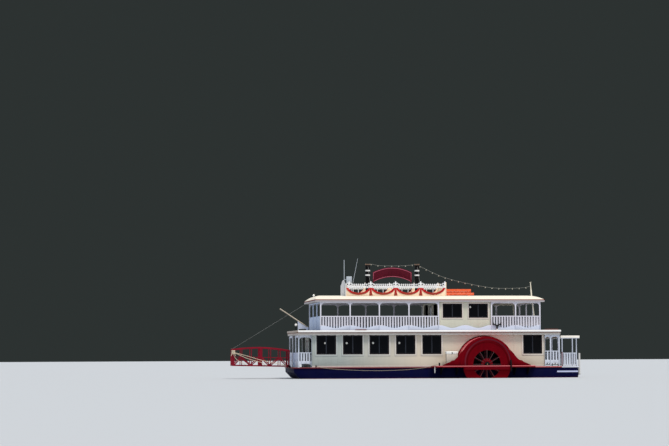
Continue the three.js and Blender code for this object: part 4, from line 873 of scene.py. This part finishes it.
# Deck lockers: cream boxes on feet against the saloon, just forward of each paddle box, with
# upright battens, thick white lids on strap hinges and a black hasp.
HASP_ALONG = (1.085, 1.155)
HASP_OUT = (3.874, 3.886)
HASP_UP = (1.862, 1.980)
BATTEN = ((0.700, -3.872, 1.000), (0.760, -3.8603, 1.800))
BATTEN_PITCH = 0.39
locker_cream = worn_paint("locker_cream", "cream_paint", (0.66, 0.58, 0.49), (0.48, 0.42, 0.35),
                          0.6, 0.5)
lid_white = worn_paint("lid_white", "white_paint", (0.97, 0.95, 0.90), (0.76, 0.74, 0.69), 0.5,
                       0.3)
both_sides("locker", locker_cream, edge=0.012)
for side, out in (("port", -1), ("starboard", 1)):
    body = f"locker_lid_{side}"
    dressed(body, lid_white, body=body, edge=0.035, segments=4)
    near, far = sorted(out * y for y in HASP_OUT)
    hasp = squared((HASP_ALONG[0], near, HASP_UP[0]), (HASP_ALONG[1], far, HASP_UP[1]))
    fitted(hasp, f"locker_hasp_{side}", iron_black, 0.004, body=body, both=False)
battens = set_out(squared(*BATTEN), [(BATTEN_PITCH, 0, 0), (2 * BATTEN_PITCH, 0, 0)])
fitted(battens, "locker_battens", locker_cream, 0.004)


# Upper deck: a bright white bullnose edge over a set-back brown line and a cream band, laid
# with pale planks, and a thin scalloped valance hung below it.
BROWN_LINE = (3.468, 3.5195)
CREAM_BAND = (3.3, 3.468)
BOARDS_AFT = ((8.640, -3.050, 3.682), (9.700, -2.760, 3.760))
BOARDS_FORE = ((-6.300, -3.440, 3.682), (-5.420, -3.380, 3.742))
# Painted shade: the trim white for the rails and stern porch is tinted blue-grey, its soiled tone
# too.
trim_white_shaded = (0.70, 0.74, 0.84)
trim_soil_and_shade = (0.50, 0.52, 0.58)
white_paint = worn_paint("trim_white_shaded", "white_paint", trim_white_shaded, trim_soil_and_shade, 0.5, 0.4)
edge_white = worn_paint("edge_white", "white_paint", (0.98, 0.96, 0.93), (0.80, 0.78, 0.75), 0.5,
                        0.25)
painted_area(edge_white, (0.24, 0.11, 0.075), z=BROWN_LINE)
painted_area(edge_white, (0.55, 0.50, 0.45), z=CREAM_BAND)
# Painted shade: the upper deck's forward-facing front edge is a dull brown.
painted_area(edge_white, (0.46, 0.38, 0.31), x=(-11.5, -10.69), z=(3.5195, 3.8))
laid_planks(edge_white, (0.40, 0.37, 0.33), (0.05, 0.045, 0.04))
dressed("upper_deck", edge_white, edge=0.045, segments=4)
valance_paint = worn_paint("valance_cream", "white_paint", (0.55, 0.53, 0.50), (0.38, 0.36, 0.34),
                           0.6, 0.5)
dressed("valance", valance_paint, edge=0.003)
stowed_boards = as_one(squared(*BOARDS_AFT), squared(*BOARDS_FORE))
board_brown = worn_paint("stowed_board", "door_timber", (0.20, 0.055, 0.040), (0.09, 0.03, 0.02),
                         0.6, 0.6)
fitted(stowed_boards, "stowed_boards", board_brown, 0.008, both=False)


# Porches: white posts, turned-down arches and pierced boards at the bow and aft. White sheets
# close the bow's front rails on both decks, behind their flat pickets, and a low gate of the same
# sheets on its own feet closes the way between the lower ones. Sheets and gate are painted
# blue-white, the blue being painted sky shade.
BOW_SHEET = ((-10.586, -2.880, 0.900), (-10.562, -0.985, 1.980))
UPPER_SHEET = ((-8.946, -3.240, 3.690), (-8.922, 3.240, 4.760))
SHEET_PANEL = 0.42
GATE_SHEET = ((-10.592, -0.620, 0.930), (-10.568, 0.620, 1.960))
GATE_BARS = [(1.900, 1.985), (0.905, 0.985)]
GATE_POSTS = (-0.625, 0, 0.625)
both_sides("bow_rail", white_paint, edge=0.005)
both_sides("aft_rail", white_paint, edge=0.005)
# Painted shade: the sheets' blue is sky shade on white sheets.
sheet_shade_blue = worn_paint("front_sheet", "white_paint", (0.60, 0.71, 0.92), (0.42, 0.50, 0.66),
                        0.55, 0.5)
panelled(sheet_shade_blue, SHEET_PANEL, axis="Y")
block("bow_front_sheets", *BOW_SHEET, sheet_shade_blue, 0.004)
gate = as_one(
    squared(*GATE_SHEET),
    *[squared((-10.606, -0.640, low), (-10.560, 0.640, high)) for low, high in GATE_BARS],
    *[squared((-10.612, y - 0.030, 0.862), (-10.554, y + 0.030, 1.990)) for y in GATE_POSTS])
fitted(gate, "bow_gate", sheet_shade_blue, 0.006, both=False)
block("upper_front_sheet", *UPPER_SHEET, sheet_shade_blue, 0.004, both=False)


# Stern porch: open rails, posts and a small canopy with round corners over the after deck, and
# a tall white fender at each corner. A dark red awning post stands by the side rail.
CANOPY_TOP = 3.060
AWNING_POST = ((9.905, -3.235, 0.862), (9.965, -3.185, 1.960))
porch_paint = worn_paint("stern_white", "white_paint", trim_white_shaded, trim_soil_and_shade, 0.5, 0.4)
painted_area(porch_paint, (0.98, 0.92, 0.82), z=(CANOPY_TOP, 3.3))
dressed("stern_porch", porch_paint, edge=0.006, clamp=False)
post_red = worn_paint("post_red", "red_paint", (0.16, 0.004, 0.012), (0.08, 0.004, 0.008), 0.5,
                      0.5)
block("awning_post", *AWNING_POST, post_red, 0.010)
both_sides("stern_fender", fender_white, edge=0.02)


# Upper rails: posts with round brackets, flat balusters with narrow gaps and a wavy foot board,
# all white, with a bluer grey band over the foot board that is painted shade. A two-horned black
# cleat stands on the foot board abreast of the paddle box.
CLEAT_AT = (4.760, -3.400)
CLEAT_UP = (3.760, 4.080)
HORN_REACH = 0.270
HORN_UP = (4.010, 4.130)
HORN_TIP_UP = (4.100, 4.290)
CLEAT_PAD = ((4.700, -3.435, 3.682), (4.820, -3.366, 3.780))
rail_white = worn_paint("rail_white", "white_paint", (0.76, 0.74, 0.81), (0.56, 0.55, 0.61),
                        0.5, 0.35)
# Painted shade: a bluer grey band over the foot board.
painted_area(rail_white, (0.66, 0.70, 0.83), z=(3.60, 4.02))
both_sides("upper_rail", rail_white, edge=0.005)
dressed("upper_rail_front", sheet_shade_blue, edge=0.005)
dressed("upper_rail_aft", rail_white, edge=0.005)
cleat = [turned((*CLEAT_AT, CLEAT_UP[0]), (*CLEAT_AT, CLEAT_UP[1]), 0.055, 0.060)]
for reach in (-HORN_REACH, HORN_REACH):
    cleat.append(turned((*CLEAT_AT, HORN_UP[0]), (CLEAT_AT[0] + reach, CLEAT_AT[1], HORN_UP[1]),
                        0.055, 0.042))
for reach in (-HORN_REACH, HORN_REACH):
    cleat.append(turned((CLEAT_AT[0] + reach, CLEAT_AT[1], HORN_TIP_UP[0]),
                        (CLEAT_AT[0] + reach * 1.15, CLEAT_AT[1], HORN_TIP_UP[1]), 0.046, 0.024))
fitted(as_one(*cleat), "rail_cleat", iron_black, 0.006)
fitted(squared(*CLEAT_PAD), "rail_cleat_pad", edge_white, 0.01)


# Upper cabin: a smaller house one deck higher, with the saloon's flush panels, surrounds and
# glazing. It has two windows on each side, and a small ventilator through one pane.
CABIN_FACE = 3.250
CABIN_PANE = 3.170
CABIN_SURROUND = 0.085
CABIN_WINDOWS = [(0.525, 2.050), (2.565, 4.080)]
CABIN_SILL = 4.620
CABIN_HEAD = 5.720
cabin_paint = worn_paint("cabin_cream", "cream_paint", (0.68, 0.655, 0.53), (0.54, 0.52, 0.42),
                         0.6, 0.4, bump=0.05)
panelled(cabin_paint, PANEL_WIDTH)
both_sides("cabin_wall", cabin_paint, edge=0.004)
dressed("cabin_wall_front", cabin_paint, edge=0.004)
dressed("cabin_wall_aft", cabin_paint, edge=0.004)
cabin_surrounds = [surround(window, (CABIN_SILL, CABIN_HEAD), CABIN_FACE, CABIN_SURROUND,
                            TRIM_PROUD) for window in CABIN_WINDOWS]
fitted(as_one(*cabin_surrounds), "cabin_surrounds", trim_pale, 0.005)
both_sides("cabin_glazing", window_glass("cabin_window", CABIN_PANE + PANE_SKIN), edge=0)
cabin_sashes = sash_bars(CABIN_WINDOWS, CABIN_PANE, CABIN_SILL, CABIN_HEAD)
fitted(cabin_sashes, "cabin_sashes", sash_grey, 0.003)
fitted(ventilator(2.700, 5.450, CABIN_PANE), "cabin_ventilator", vent_white, 0.004)


# Roof: cambered, canvas-covered and painted a bright cream, seams across it, with a thin
# brown-red line along the eave over a grey band. A blind box hangs under the after eave with
# its pole, and a lamp on a short stem stands at the fore end.
ROOF_SEAM = 1.35
EAVE_BAND = (5.80, 5.965)
EAVE_LINE = (5.965, 6.045)
LAMP_AT = (-9.050, 0)
LAMP_UP = (5.950, 6.420, 6.540)
BLIND = ((5.080, -3.290, 5.740), (7.680, -3.170, 5.845))
BLIND_CAPS = [(5.080, 5.120), (7.640, 7.680)]
BLIND_POLE = ((7.600, -3.250, 5.800), (7.700, -3.300, 4.860))
POLE_GRIP = ((7.696, -3.298, 4.900), (7.700, -3.300, 4.780))
roof_paint = worn_paint("roof_cream", "roof_paint", (0.86, 0.79, 0.66), (0.70, 0.63, 0.50), 0.7,
                        0.35)
painted_area(roof_paint, (0.50, 0.47, 0.48), z=EAVE_BAND)
painted_area(roof_paint, (0.17, 0.022, 0.016), z=EAVE_LINE)
panelled(roof_paint, ROOF_SEAM)
dressed("roof", roof_paint, edge=0.016, angle=30)
blind_cream = worn_paint("blind_cream", "roof_paint", (0.62, 0.58, 0.47), (0.45, 0.42, 0.33), 0.8,
                         0.5)
blind_box = as_one(squared(*BLIND), *[
    squared((start, -3.300, 5.735), (end, -3.160, 5.846)) for start, end in BLIND_CAPS])
fitted(blind_box, "blind_box", blind_cream, 0.02, segments=3)
blind_pole = as_one(turned(*BLIND_POLE, 0.035, 0.045), turned(*POLE_GRIP, 0.055, 0.050))
fitted(blind_pole, "blind_pole", blind_cream, 0.006)
roof_lamp = as_one(turned((*LAMP_AT, LAMP_UP[0]), (*LAMP_AT, LAMP_UP[1]), 0.028),
                   turned((*LAMP_AT, 6.400), (*LAMP_AT, 6.470), 0.090, 0.075),
                   turned((*LAMP_AT, 6.465), (*LAMP_AT, LAMP_UP[2]), 0.075, 0.030))
fitted(roof_lamp, "roof_lamp", lid_white, 0.008, both=False, angle=25)


# Parapet: peach-cream boards cut with hanging arches, and a greyer front gable. Its cresting
# is white pierced lace under knobs on stems, with fleur finials over the piers. Each fleur row
# gives its place along the boat and the hands its scrolls are on.
CREST_LOW = 6.975
CREST_HIGH = 7.125
CREST_POINT = 7.310
KNOB_RADIUS = 0.060
CREST_PITCH = 0.1625
CREST_ENDS = (-6.640, 1.100)
CREST_FACE = 1.4005
FLEURS = [(-6.465, (-1, 1)), (-4.770, (-1, 1)), (-2.810, (-1, 1)), (-0.830, (-1, 1)),
          (1.085, (-1,))]
FLEUR_TOP = 7.505
FLEUR_STUB = (6.985, 7.165)
FLEUR_THICK = 0.035
LEAF = (0.062, 0.170)
SCROLL_AT = (0.125, 7.262)
SCROLL = (0.086, 0.032)
LACE_THICK = 0.022
ARCH_MIDDLES = [-5.735, -3.790, -1.820, 0.155]
PROP_HALF = 0.020
PROP_UP = (6.400, 7.130)
parapet_paint = worn_paint("parapet_cream", "roof_paint", (0.96, 0.76, 0.55), (0.78, 0.61, 0.44),
                           0.55, 0.4)
painted_area(parapet_paint, (0.80, 0.78, 0.77), x=(-7.0, -6.690))
lace_white = worn_paint("lace_white", "white_paint", (0.88, 0.89, 0.90), (0.66, 0.66, 0.67),
                        0.5, 0.3)
parapet = dressed("parapet", parapet_paint, edge=0.004)
ends = []
for place, away in zip(CREST_ENDS, (1, -1)):
    alone(parapet)
    bpy.ops.object.duplicate()
    end = bpy.context.object
    cut_off(end, (place, 0, 0), (away, 0, 0))
    cut_off(parapet, (place, 0, 0), (-away, 0, 0))
    ends.append(end)
cut_off(parapet, (0, 0, CREST_HIGH), (0, 0, 1))
as_one(parapet, *ends)

crest_from, crest_to = CREST_ENDS
crest_count = round((crest_to - crest_from) / CREST_PITCH)
lace = upright_sheet((crest_from, crest_from + CREST_PITCH), (CREST_LOW, CREST_HIGH), CREST_FACE)
bpy.ops.mesh.subdivide(number_cuts=1)
bpy.ops.mesh.select_all(action="DESELECT")
bpy.ops.object.mode_set(mode="OBJECT")
for point in lace.data.vertices:
    middle = abs(point.co.x - crest_from - CREST_PITCH / 2) < 0.01
    point.select = middle and abs(point.co.z - (CREST_LOW + CREST_HIGH) / 2) < 0.01
bpy.ops.object.mode_set(mode="EDIT")
bpy.ops.mesh.select_mode(type="VERT")
bpy.ops.mesh.bevel(offset=0.036, affect="VERTICES")
bpy.ops.mesh.delete(type="FACE")
drawn_out(-LACE_THICK)
knob_x = crest_from + CREST_PITCH / 2
knob = turned((knob_x, -CREST_FACE - 0.001, CREST_POINT - KNOB_RADIUS),
              (knob_x, -CREST_FACE - 0.021, CREST_POINT - KNOB_RADIUS), KNOB_RADIUS, 0.054, 12)
stem = squared((knob_x - 0.018, -CREST_FACE - 0.019, CREST_HIGH - 0.010),
               (knob_x + 0.018, -CREST_FACE - 0.003, CREST_POINT - KNOB_RADIUS))
lace = as_one(lace, knob, stem)
fitted(lace, "parapet_lace", lace_white, 0.003)
row = lace.modifiers.new("row", "ARRAY")
row.count = crest_count
row.use_relative_offset = False
row.use_constant_offset = True
row.constant_offset_displace = (CREST_PITCH, 0, 0)
bpy.ops.object.modifier_apply(modifier=row.name)


def finial(x, hands):
    """A flat fleur: a leaf and ring scrolls, one or both, on a stub over the cresting."""
    face = -CREST_FACE - 0.030
    bpy.ops.mesh.primitive_circle_add(
        vertices=20, radius=1, fill_type="NGON", rotation=(math.pi / 2, 0, 0),
        location=(x, face, FLEUR_TOP - LEAF[1]))
    leaf = bpy.context.object
    leaf.scale = (*LEAF, 1)
    edit_all(settled(leaf))
    drawn_out(FLEUR_THICK)
    parts = [leaf]
    for hand in hands:
        bpy.ops.mesh.primitive_torus_add(
            major_radius=SCROLL[0], minor_radius=SCROLL[1], major_segments=20, minor_segments=8,
            rotation=(math.pi / 2, 0, 0), location=(x + hand * SCROLL_AT[0], face + 0.006,
                                                    SCROLL_AT[1]))
        parts.append(bpy.context.object)
    parts.append(squared((x + 0.150 * min(hands), face, FLEUR_STUB[0]),
                         (x + max(0.060, 0.150 * max(hands)), face + 0.026, FLEUR_STUB[1])))
    return as_one(*parts)


fitted(as_one(*[finial(x, hands) for x, hands in FLEURS]), "fleur_finials", lace_white, 0.006)
# Painted shade: black discs behind the fleurs' scroll rings, for the dark seen through them.
shade_discs = [turned((x + hand * SCROLL_AT[0], -CREST_FACE - 0.0225, SCROLL_AT[1]),
               (x + hand * SCROLL_AT[0], -CREST_FACE - 0.027, SCROLL_AT[1]), 0.060, 0.058, 16)
        for x, hands in FLEURS for hand in hands]
fitted(as_one(*shade_discs), "finial_shade_discs", iron_black, 0)
props = [squared((x - PROP_HALF, -1.365, PROP_UP[0]), (x + PROP_HALF, -1.330, PROP_UP[1]))
         for x in ARCH_MIDDLES]
fitted(as_one(*props), "arch_props", lace_white, 0.004)


# Swags: bright red cloth garlands hung along the arches, with a tied tassel at each pier. Their
# tops are cut off level where the cresting starts.
SWAG_HEAD = 6.990
swag_red = worn_paint("swag_red", "red_paint", (0.50, 0.006, 0.008), (0.30, 0.006, 0.008), 0.6,
                      0.5)
painted_area(swag_red, (0.34, 0.035, 0.020), z=(6.3, 6.62))
for swag in both_sides("swags", swag_red, edge=0.012, segments=3):
    cut_off(swag, (0, 0, SWAG_HEAD), (0, 0, 1))


# Funnels: two slim black pipes with white bands and a flared crown of dull gilt points, each
# in a bolted collar on the roof and held by two thin wire stays.
FUNNELS = (-4.780, -0.860)
FUNNEL_RIM = 8.820
STAY = 0.016
BANDS = [(7.972, 8.078), (8.322, 8.433)]
COLLAR_UP = (6.400, 6.470)
COLLAR_RADII = (0.300, 0.270)
COLLAR_BOLTS = 8
BOLTS_OUT = 0.245
STAY_HEAD = (0.190, 8.700)
STAY_FOOT = (1.340, 7.120)


def fixed_wire(name, points, thick, finish):
    """A wire that is taut or clipped, and fixed to the boat."""
    wire = rope(name, points, thick, 1)
    wire.data.materials.append(finish)
    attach(wire, "boat")


funnel_paint = worn_paint("funnel_black", "black_paint", (0.005, 0.005, 0.006),
                          (0.014, 0.013, 0.012), 0.5, 0.5, shine=0.06)
for band in BANDS:
    painted_area(funnel_paint, (0.90, 0.90, 0.88), z=band)
painted_area(funnel_paint, (0.20, 0.13, 0.09), z=(FUNNEL_RIM, 9.2))
dressed("funnel_fore", funnel_paint, edge=0.004, angle=30)
dressed("funnel_aft", funnel_paint, edge=0.004, angle=30)
collars = []
for x in FUNNELS:
    collars.append(turned((x, 0, COLLAR_UP[0]), (x, 0, COLLAR_UP[1]), *COLLAR_RADII, 32))
    bolt = turned((x + BOLTS_OUT, 0, 6.465), (x + BOLTS_OUT, 0, 6.500), 0.022, 0.018, 6)
    for turn in range(1, COLLAR_BOLTS):
        alone(bolt)
        bpy.ops.object.duplicate()
        bpy.ops.transform.rotate(value=2 * math.pi * turn / COLLAR_BOLTS, orient_axis="Z",
                                 center_override=(x, 0, COLLAR_UP[0]))
        collars.append(bpy.context.object)
    collars.append(bolt)
fitted(as_one(*collars), "funnel_collars", iron_black, 0.006, both=False)
stay_wire = worn_paint("stay_wire", "bare_iron", (0.30, 0.30, 0.29), (0.18, 0.17, 0.16), 0.4, 0.5,
                       shine=0.5)
for x, name in zip(FUNNELS, ("fore", "aft")):
    for side, hand in ((-1, "port"), (1, "starboard")):
        stay_ends = [(x, side * out, up) for out, up in (STAY_HEAD, STAY_FOOT)]
        fixed_wire(f"funnel_stay_{name}_{hand}", stay_ends, STAY, stay_wire)


# Sign board: an arched maroon board between the funnels, blank, with a pink line painted round
# inside its edge on both faces, on two slim posts.
SIGN_MIDDLE = -2.830
SIGN_HALF = 1.550
SIGN_TOP = (8.270, 8.640)
SIGN_FOOT = (7.490, 7.880)
LINE_IN = 0.055
LINE_WIDE = 0.040


def as_mesh(line):
    """Turns a drawn line into a mesh."""
    alone(line)
    bpy.ops.object.convert(target="MESH")
    return bpy.context.object


sign_maroon = worn_paint("sign_maroon", "red_paint", (0.085, 0.003, 0.012), (0.05, 0.003, 0.008),
                         0.5, 0.5, shine=0.1)
line_pink = worn_paint("sign_line", "red_paint", (0.58, 0.13, 0.20), (0.42, 0.10, 0.15), 0.5, 0.4)
dressed("sign_board", sign_maroon, edge=0.006)
lines = []
for face in (-0.0215, 0.0215):
    edge_line = []
    for (low, high), way, inset in ((SIGN_TOP, 1, -LINE_IN), (SIGN_FOOT, -1, LINE_IN)):
        for step in range(17):
            across = way * (step / 8 - 1)
            edge_line.append((SIGN_MIDDLE + across * (SIGN_HALF - LINE_IN), face,
                              high - (high - low) * across**2 + inset))
    edge_line.append(edge_line[0])
    line = as_mesh(rope("sign_line", edge_line, LINE_WIDE, 1))
    line.data.transform(Matrix.Translation((0, face, 0)) @ Matrix.Diagonal((1, 0.3, 1, 1))
                        @ Matrix.Translation((0, -face, 0)))
    lines.append(line)
fitted(as_one(*lines), "sign_line", line_pink, 0, both=False)


# Buoyant floats: two tiers of foam-filled orange slabs lashed on bearers, with a soft round
# edge and a grab line looped along each side. A dark band where the tiers meet is painted shade.
GRAB_LINE = 0.026
GRAB_ROWS = [(1.350, 3.450, 6.610), (1.400, 3.190, 6.780)]
LOOPS = 6
LOOP_SAG = 0.085
float_paint = worn_paint("float_orange", "float_orange", (0.86, 0.135, 0.045),
                         (0.62, 0.075, 0.035), 0.75, 0.7, bump=0.25)
# Painted shade: a dark red band where the two tiers meet.
painted_area(float_paint, (0.40, 0.028, 0.008), z=(6.655, 6.735))
dressed("floats", float_paint, edge=0.095, segments=5)
float_lines = []
for start, end, z in GRAB_ROWS:
    points = []
    for step in range(LOOPS * 8 + 1):
        along = step / 8
        sag = LOOP_SAG * math.sin(math.pi * (along % 1))
        points.append((start + along * (end - start) / LOOPS, -0.706, z - sag))
    float_lines.append(as_mesh(rope("float_line", points, GRAB_LINE, 1)))
line_faded = worn_paint("grab_line", "rope", (0.88, 0.40, 0.30), (0.62, 0.25, 0.18), 0.9, 0.5)
fitted(as_one(*float_lines), "float_grab_lines", line_faded, 0)


# After mast and aerials: a cream raked mast with a forked head, a plated instrument box and its
# whip on the roof's fore end, and a second whip that leans aft beside it.
WHIP_FOOT = ((-6.090, 0.300, 6.420), (-5.970, 0.300, 7.150))
WHIP = ((-5.974, 0.300, 7.120), (-5.520, 0.300, 9.350))
mast_cream = worn_paint("mast_cream", "white_paint", (0.82, 0.76, 0.62), (0.60, 0.54, 0.43), 0.5,
                        0.5)
dressed("aft_mast", mast_cream, edge=0.003, angle=30)
aerial_grey = worn_paint("aerial_grey", "white_paint", (0.52, 0.57, 0.62), (0.36, 0.39, 0.43), 0.5,
                         0.5)
dressed("aerial", aerial_grey, edge=0.012)
whip = as_one(turned(*WHIP_FOOT, 0.034, 0.028, 12), turned(*WHIP, 0.022, 0.010, 12))
fitted(whip, "leaning_whip", aerial_grey, 0.002, both=False)


# String of lights: a thin flex with small round lamps, looped from funnel head to funnel head
# and on down to the after mast.
STRING_ROUTES = [
    [(-4.780, 0, 8.860), (-4.500, 0, 8.900), (-3.900, 0, 8.790), (-2.820, 0, 8.760),
     (-1.700, 0, 8.790), (-1.150, 0, 8.850), (-0.860, 0, 8.860)],
    [(-0.860, 0, 8.860), (-0.300, 0, 8.580), (0.770, 0, 8.070), (1.740, 0, 7.740),
     (3.840, 0, 7.260), (5.400, 0, 7.030), (6.840, 0, 7.020), (7.860, 0, 7.080),
     (8.255, 0, 7.190)],
]
LAMP_PITCH = 0.55
LAMP_RADIUS = 0.038
LAMP_DROP = 0.058
FLEX = 0.022
CUP = (0.035, 0.012)
flex_grey = worn_paint("flex_grey", "black_paint", (0.26, 0.26, 0.24), (0.16, 0.16, 0.15), 0.6,
                       0.4)
lamp_glass = worn_paint("lamp_glass", "white_paint", (0.46, 0.44, 0.36), (0.32, 0.30, 0.25), 0.3,
                        0.3, shine=0.4)
lamps = []
for number, route in enumerate(STRING_ROUTES):
    line = along_route(route)
    fixed_wire(f"light_flex_{number}", line, FLEX, flex_grey)
    left = LAMP_PITCH / 2
    for start, end in zip(line, line[1:]):
        run = (end - start).length
        while left < run:
            lamps.append(start.lerp(end, left / run))
            left += LAMP_PITCH
        left -= run
first = lamps[0]
bpy.ops.mesh.primitive_ico_sphere_add(subdivisions=2, radius=LAMP_RADIUS,
                                      location=first - Vector((0, 0, LAMP_DROP)))
globe = bpy.context.object
cup = turned(first - Vector((0, 0, CUP[0])), first + Vector((0, 0, CUP[1])), 0.022, 0.016, 10)
strung = set_out(as_one(globe, cup), [place - first for place in lamps[1:]])
fitted(strung, "string_lamps", lamp_glass, 0, both=False)


# Bow boom: a pale timber spar on a gusset plate and a stanchion; the plate is painted
# blue-white, its blue being painted sky shade. A white lamp stands on a black post before it,
# and a hoist wire runs from the roof's front edge down to the head of the gangway, which it lifts.
BOOM_HEEL = (-9.500, 3.950)
BOOM_RISE = (5.405 - 3.950) / 2.2
BOW_LAMP = (-10.450, 0)
HOIST_HEAD = Vector((-9.375, 0, 5.960))
HOIST_FOOT = Vector((-15.360, 0, 2.330))
HOIST_STEPS = 24
boom_timber = worn_paint("boom_timber", "white_paint", (0.50, 0.43, 0.34), (0.34, 0.29, 0.23), 0.6,
                         0.6)
gusset_shade_blue = worn_paint("gusset_blue", "white_paint", (0.72, 0.78, 0.93), (0.52, 0.56, 0.68), 0.55,
                        0.5)
boom = dressed("bow_boom", boom_timber, edge=0.006)
second_finish(boom, gusset_shade_blue,
              lambda p: p.z < BOOM_HEEL[1] + (BOOM_HEEL[0] - p.x) * BOOM_RISE - 0.075)
lamp_post = turned((*BOW_LAMP, 3.680), (*BOW_LAMP, 4.080), 0.040, 0.032)
fitted(lamp_post, "bow_lamp_post", iron_black, 0.006, both=False)
bow_lamp = as_one(turned((*BOW_LAMP, 4.060), (*BOW_LAMP, 4.150), 0.070, 0.110),
                  turned((*BOW_LAMP, 4.148), (*BOW_LAMP, 4.250), 0.110, 0.060))
fitted(bow_lamp, "bow_lamp", lid_white, 0.012, both=False, angle=25)
hoist = as_mesh(rope("hoist_wire", [
    HOIST_HEAD.lerp(HOIST_FOOT, step / HOIST_STEPS) for step in range(HOIST_STEPS + 1)], STAY, 1))
hoist.data.materials.append(stay_wire)
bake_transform(hoist)


# Gangway: two arched red trusses with a tan plank walk between them, hinged at the bow. A rope
# lashing is wound round the head of its outer post, and a round bar joins the two heads.
POST_HEAD = (-15.400, -0.750, 1.930)
TURN_PITCH = 0.048
HEAD_BAR = ((-15.420, -0.740, 2.300), (-15.420, 0.740, 2.300))
gangway_red = worn_paint("gangway_red", "red_paint", (0.24, 0.006, 0.020), (0.13, 0.008, 0.016),
                         0.5, 0.6, shine=0.1)
walk_tan = worn_paint("walk_tan", "door_timber", (0.42, 0.27, 0.16), (0.20, 0.13, 0.08), 0.8, 0.7)
gangway = dressed("gangway", gangway_red, body="gangway", edge=0.006)
second_finish(gangway, walk_tan, lambda p: abs(p.y) < 0.68 and p.z < 1.25 and p.x > -15.42)
lashing = []
for turn in range(6):
    bpy.ops.mesh.primitive_torus_add(
        major_radius=0.125, minor_radius=0.026, major_segments=20, minor_segments=8,
        location=(*POST_HEAD[:2], POST_HEAD[2] + turn * TURN_PITCH))
    lashing.append(bpy.context.object)
for reach in (-0.060, 0.050):
    lashing.append(turned((POST_HEAD[0] + reach, -0.880, 2.080),
                          (POST_HEAD[0] + reach * 3, -0.880, 1.760), 0.030, 0.022, 12))
fitted(as_one(*lashing), "post_lashing", pale_fibre, 0, body="gangway", both=False)
cross_bar = turned(*HEAD_BAR, 0.030)
fitted(cross_bar, "gangway_head_bar", gangway_red, 0.004, body="gangway", both=False)
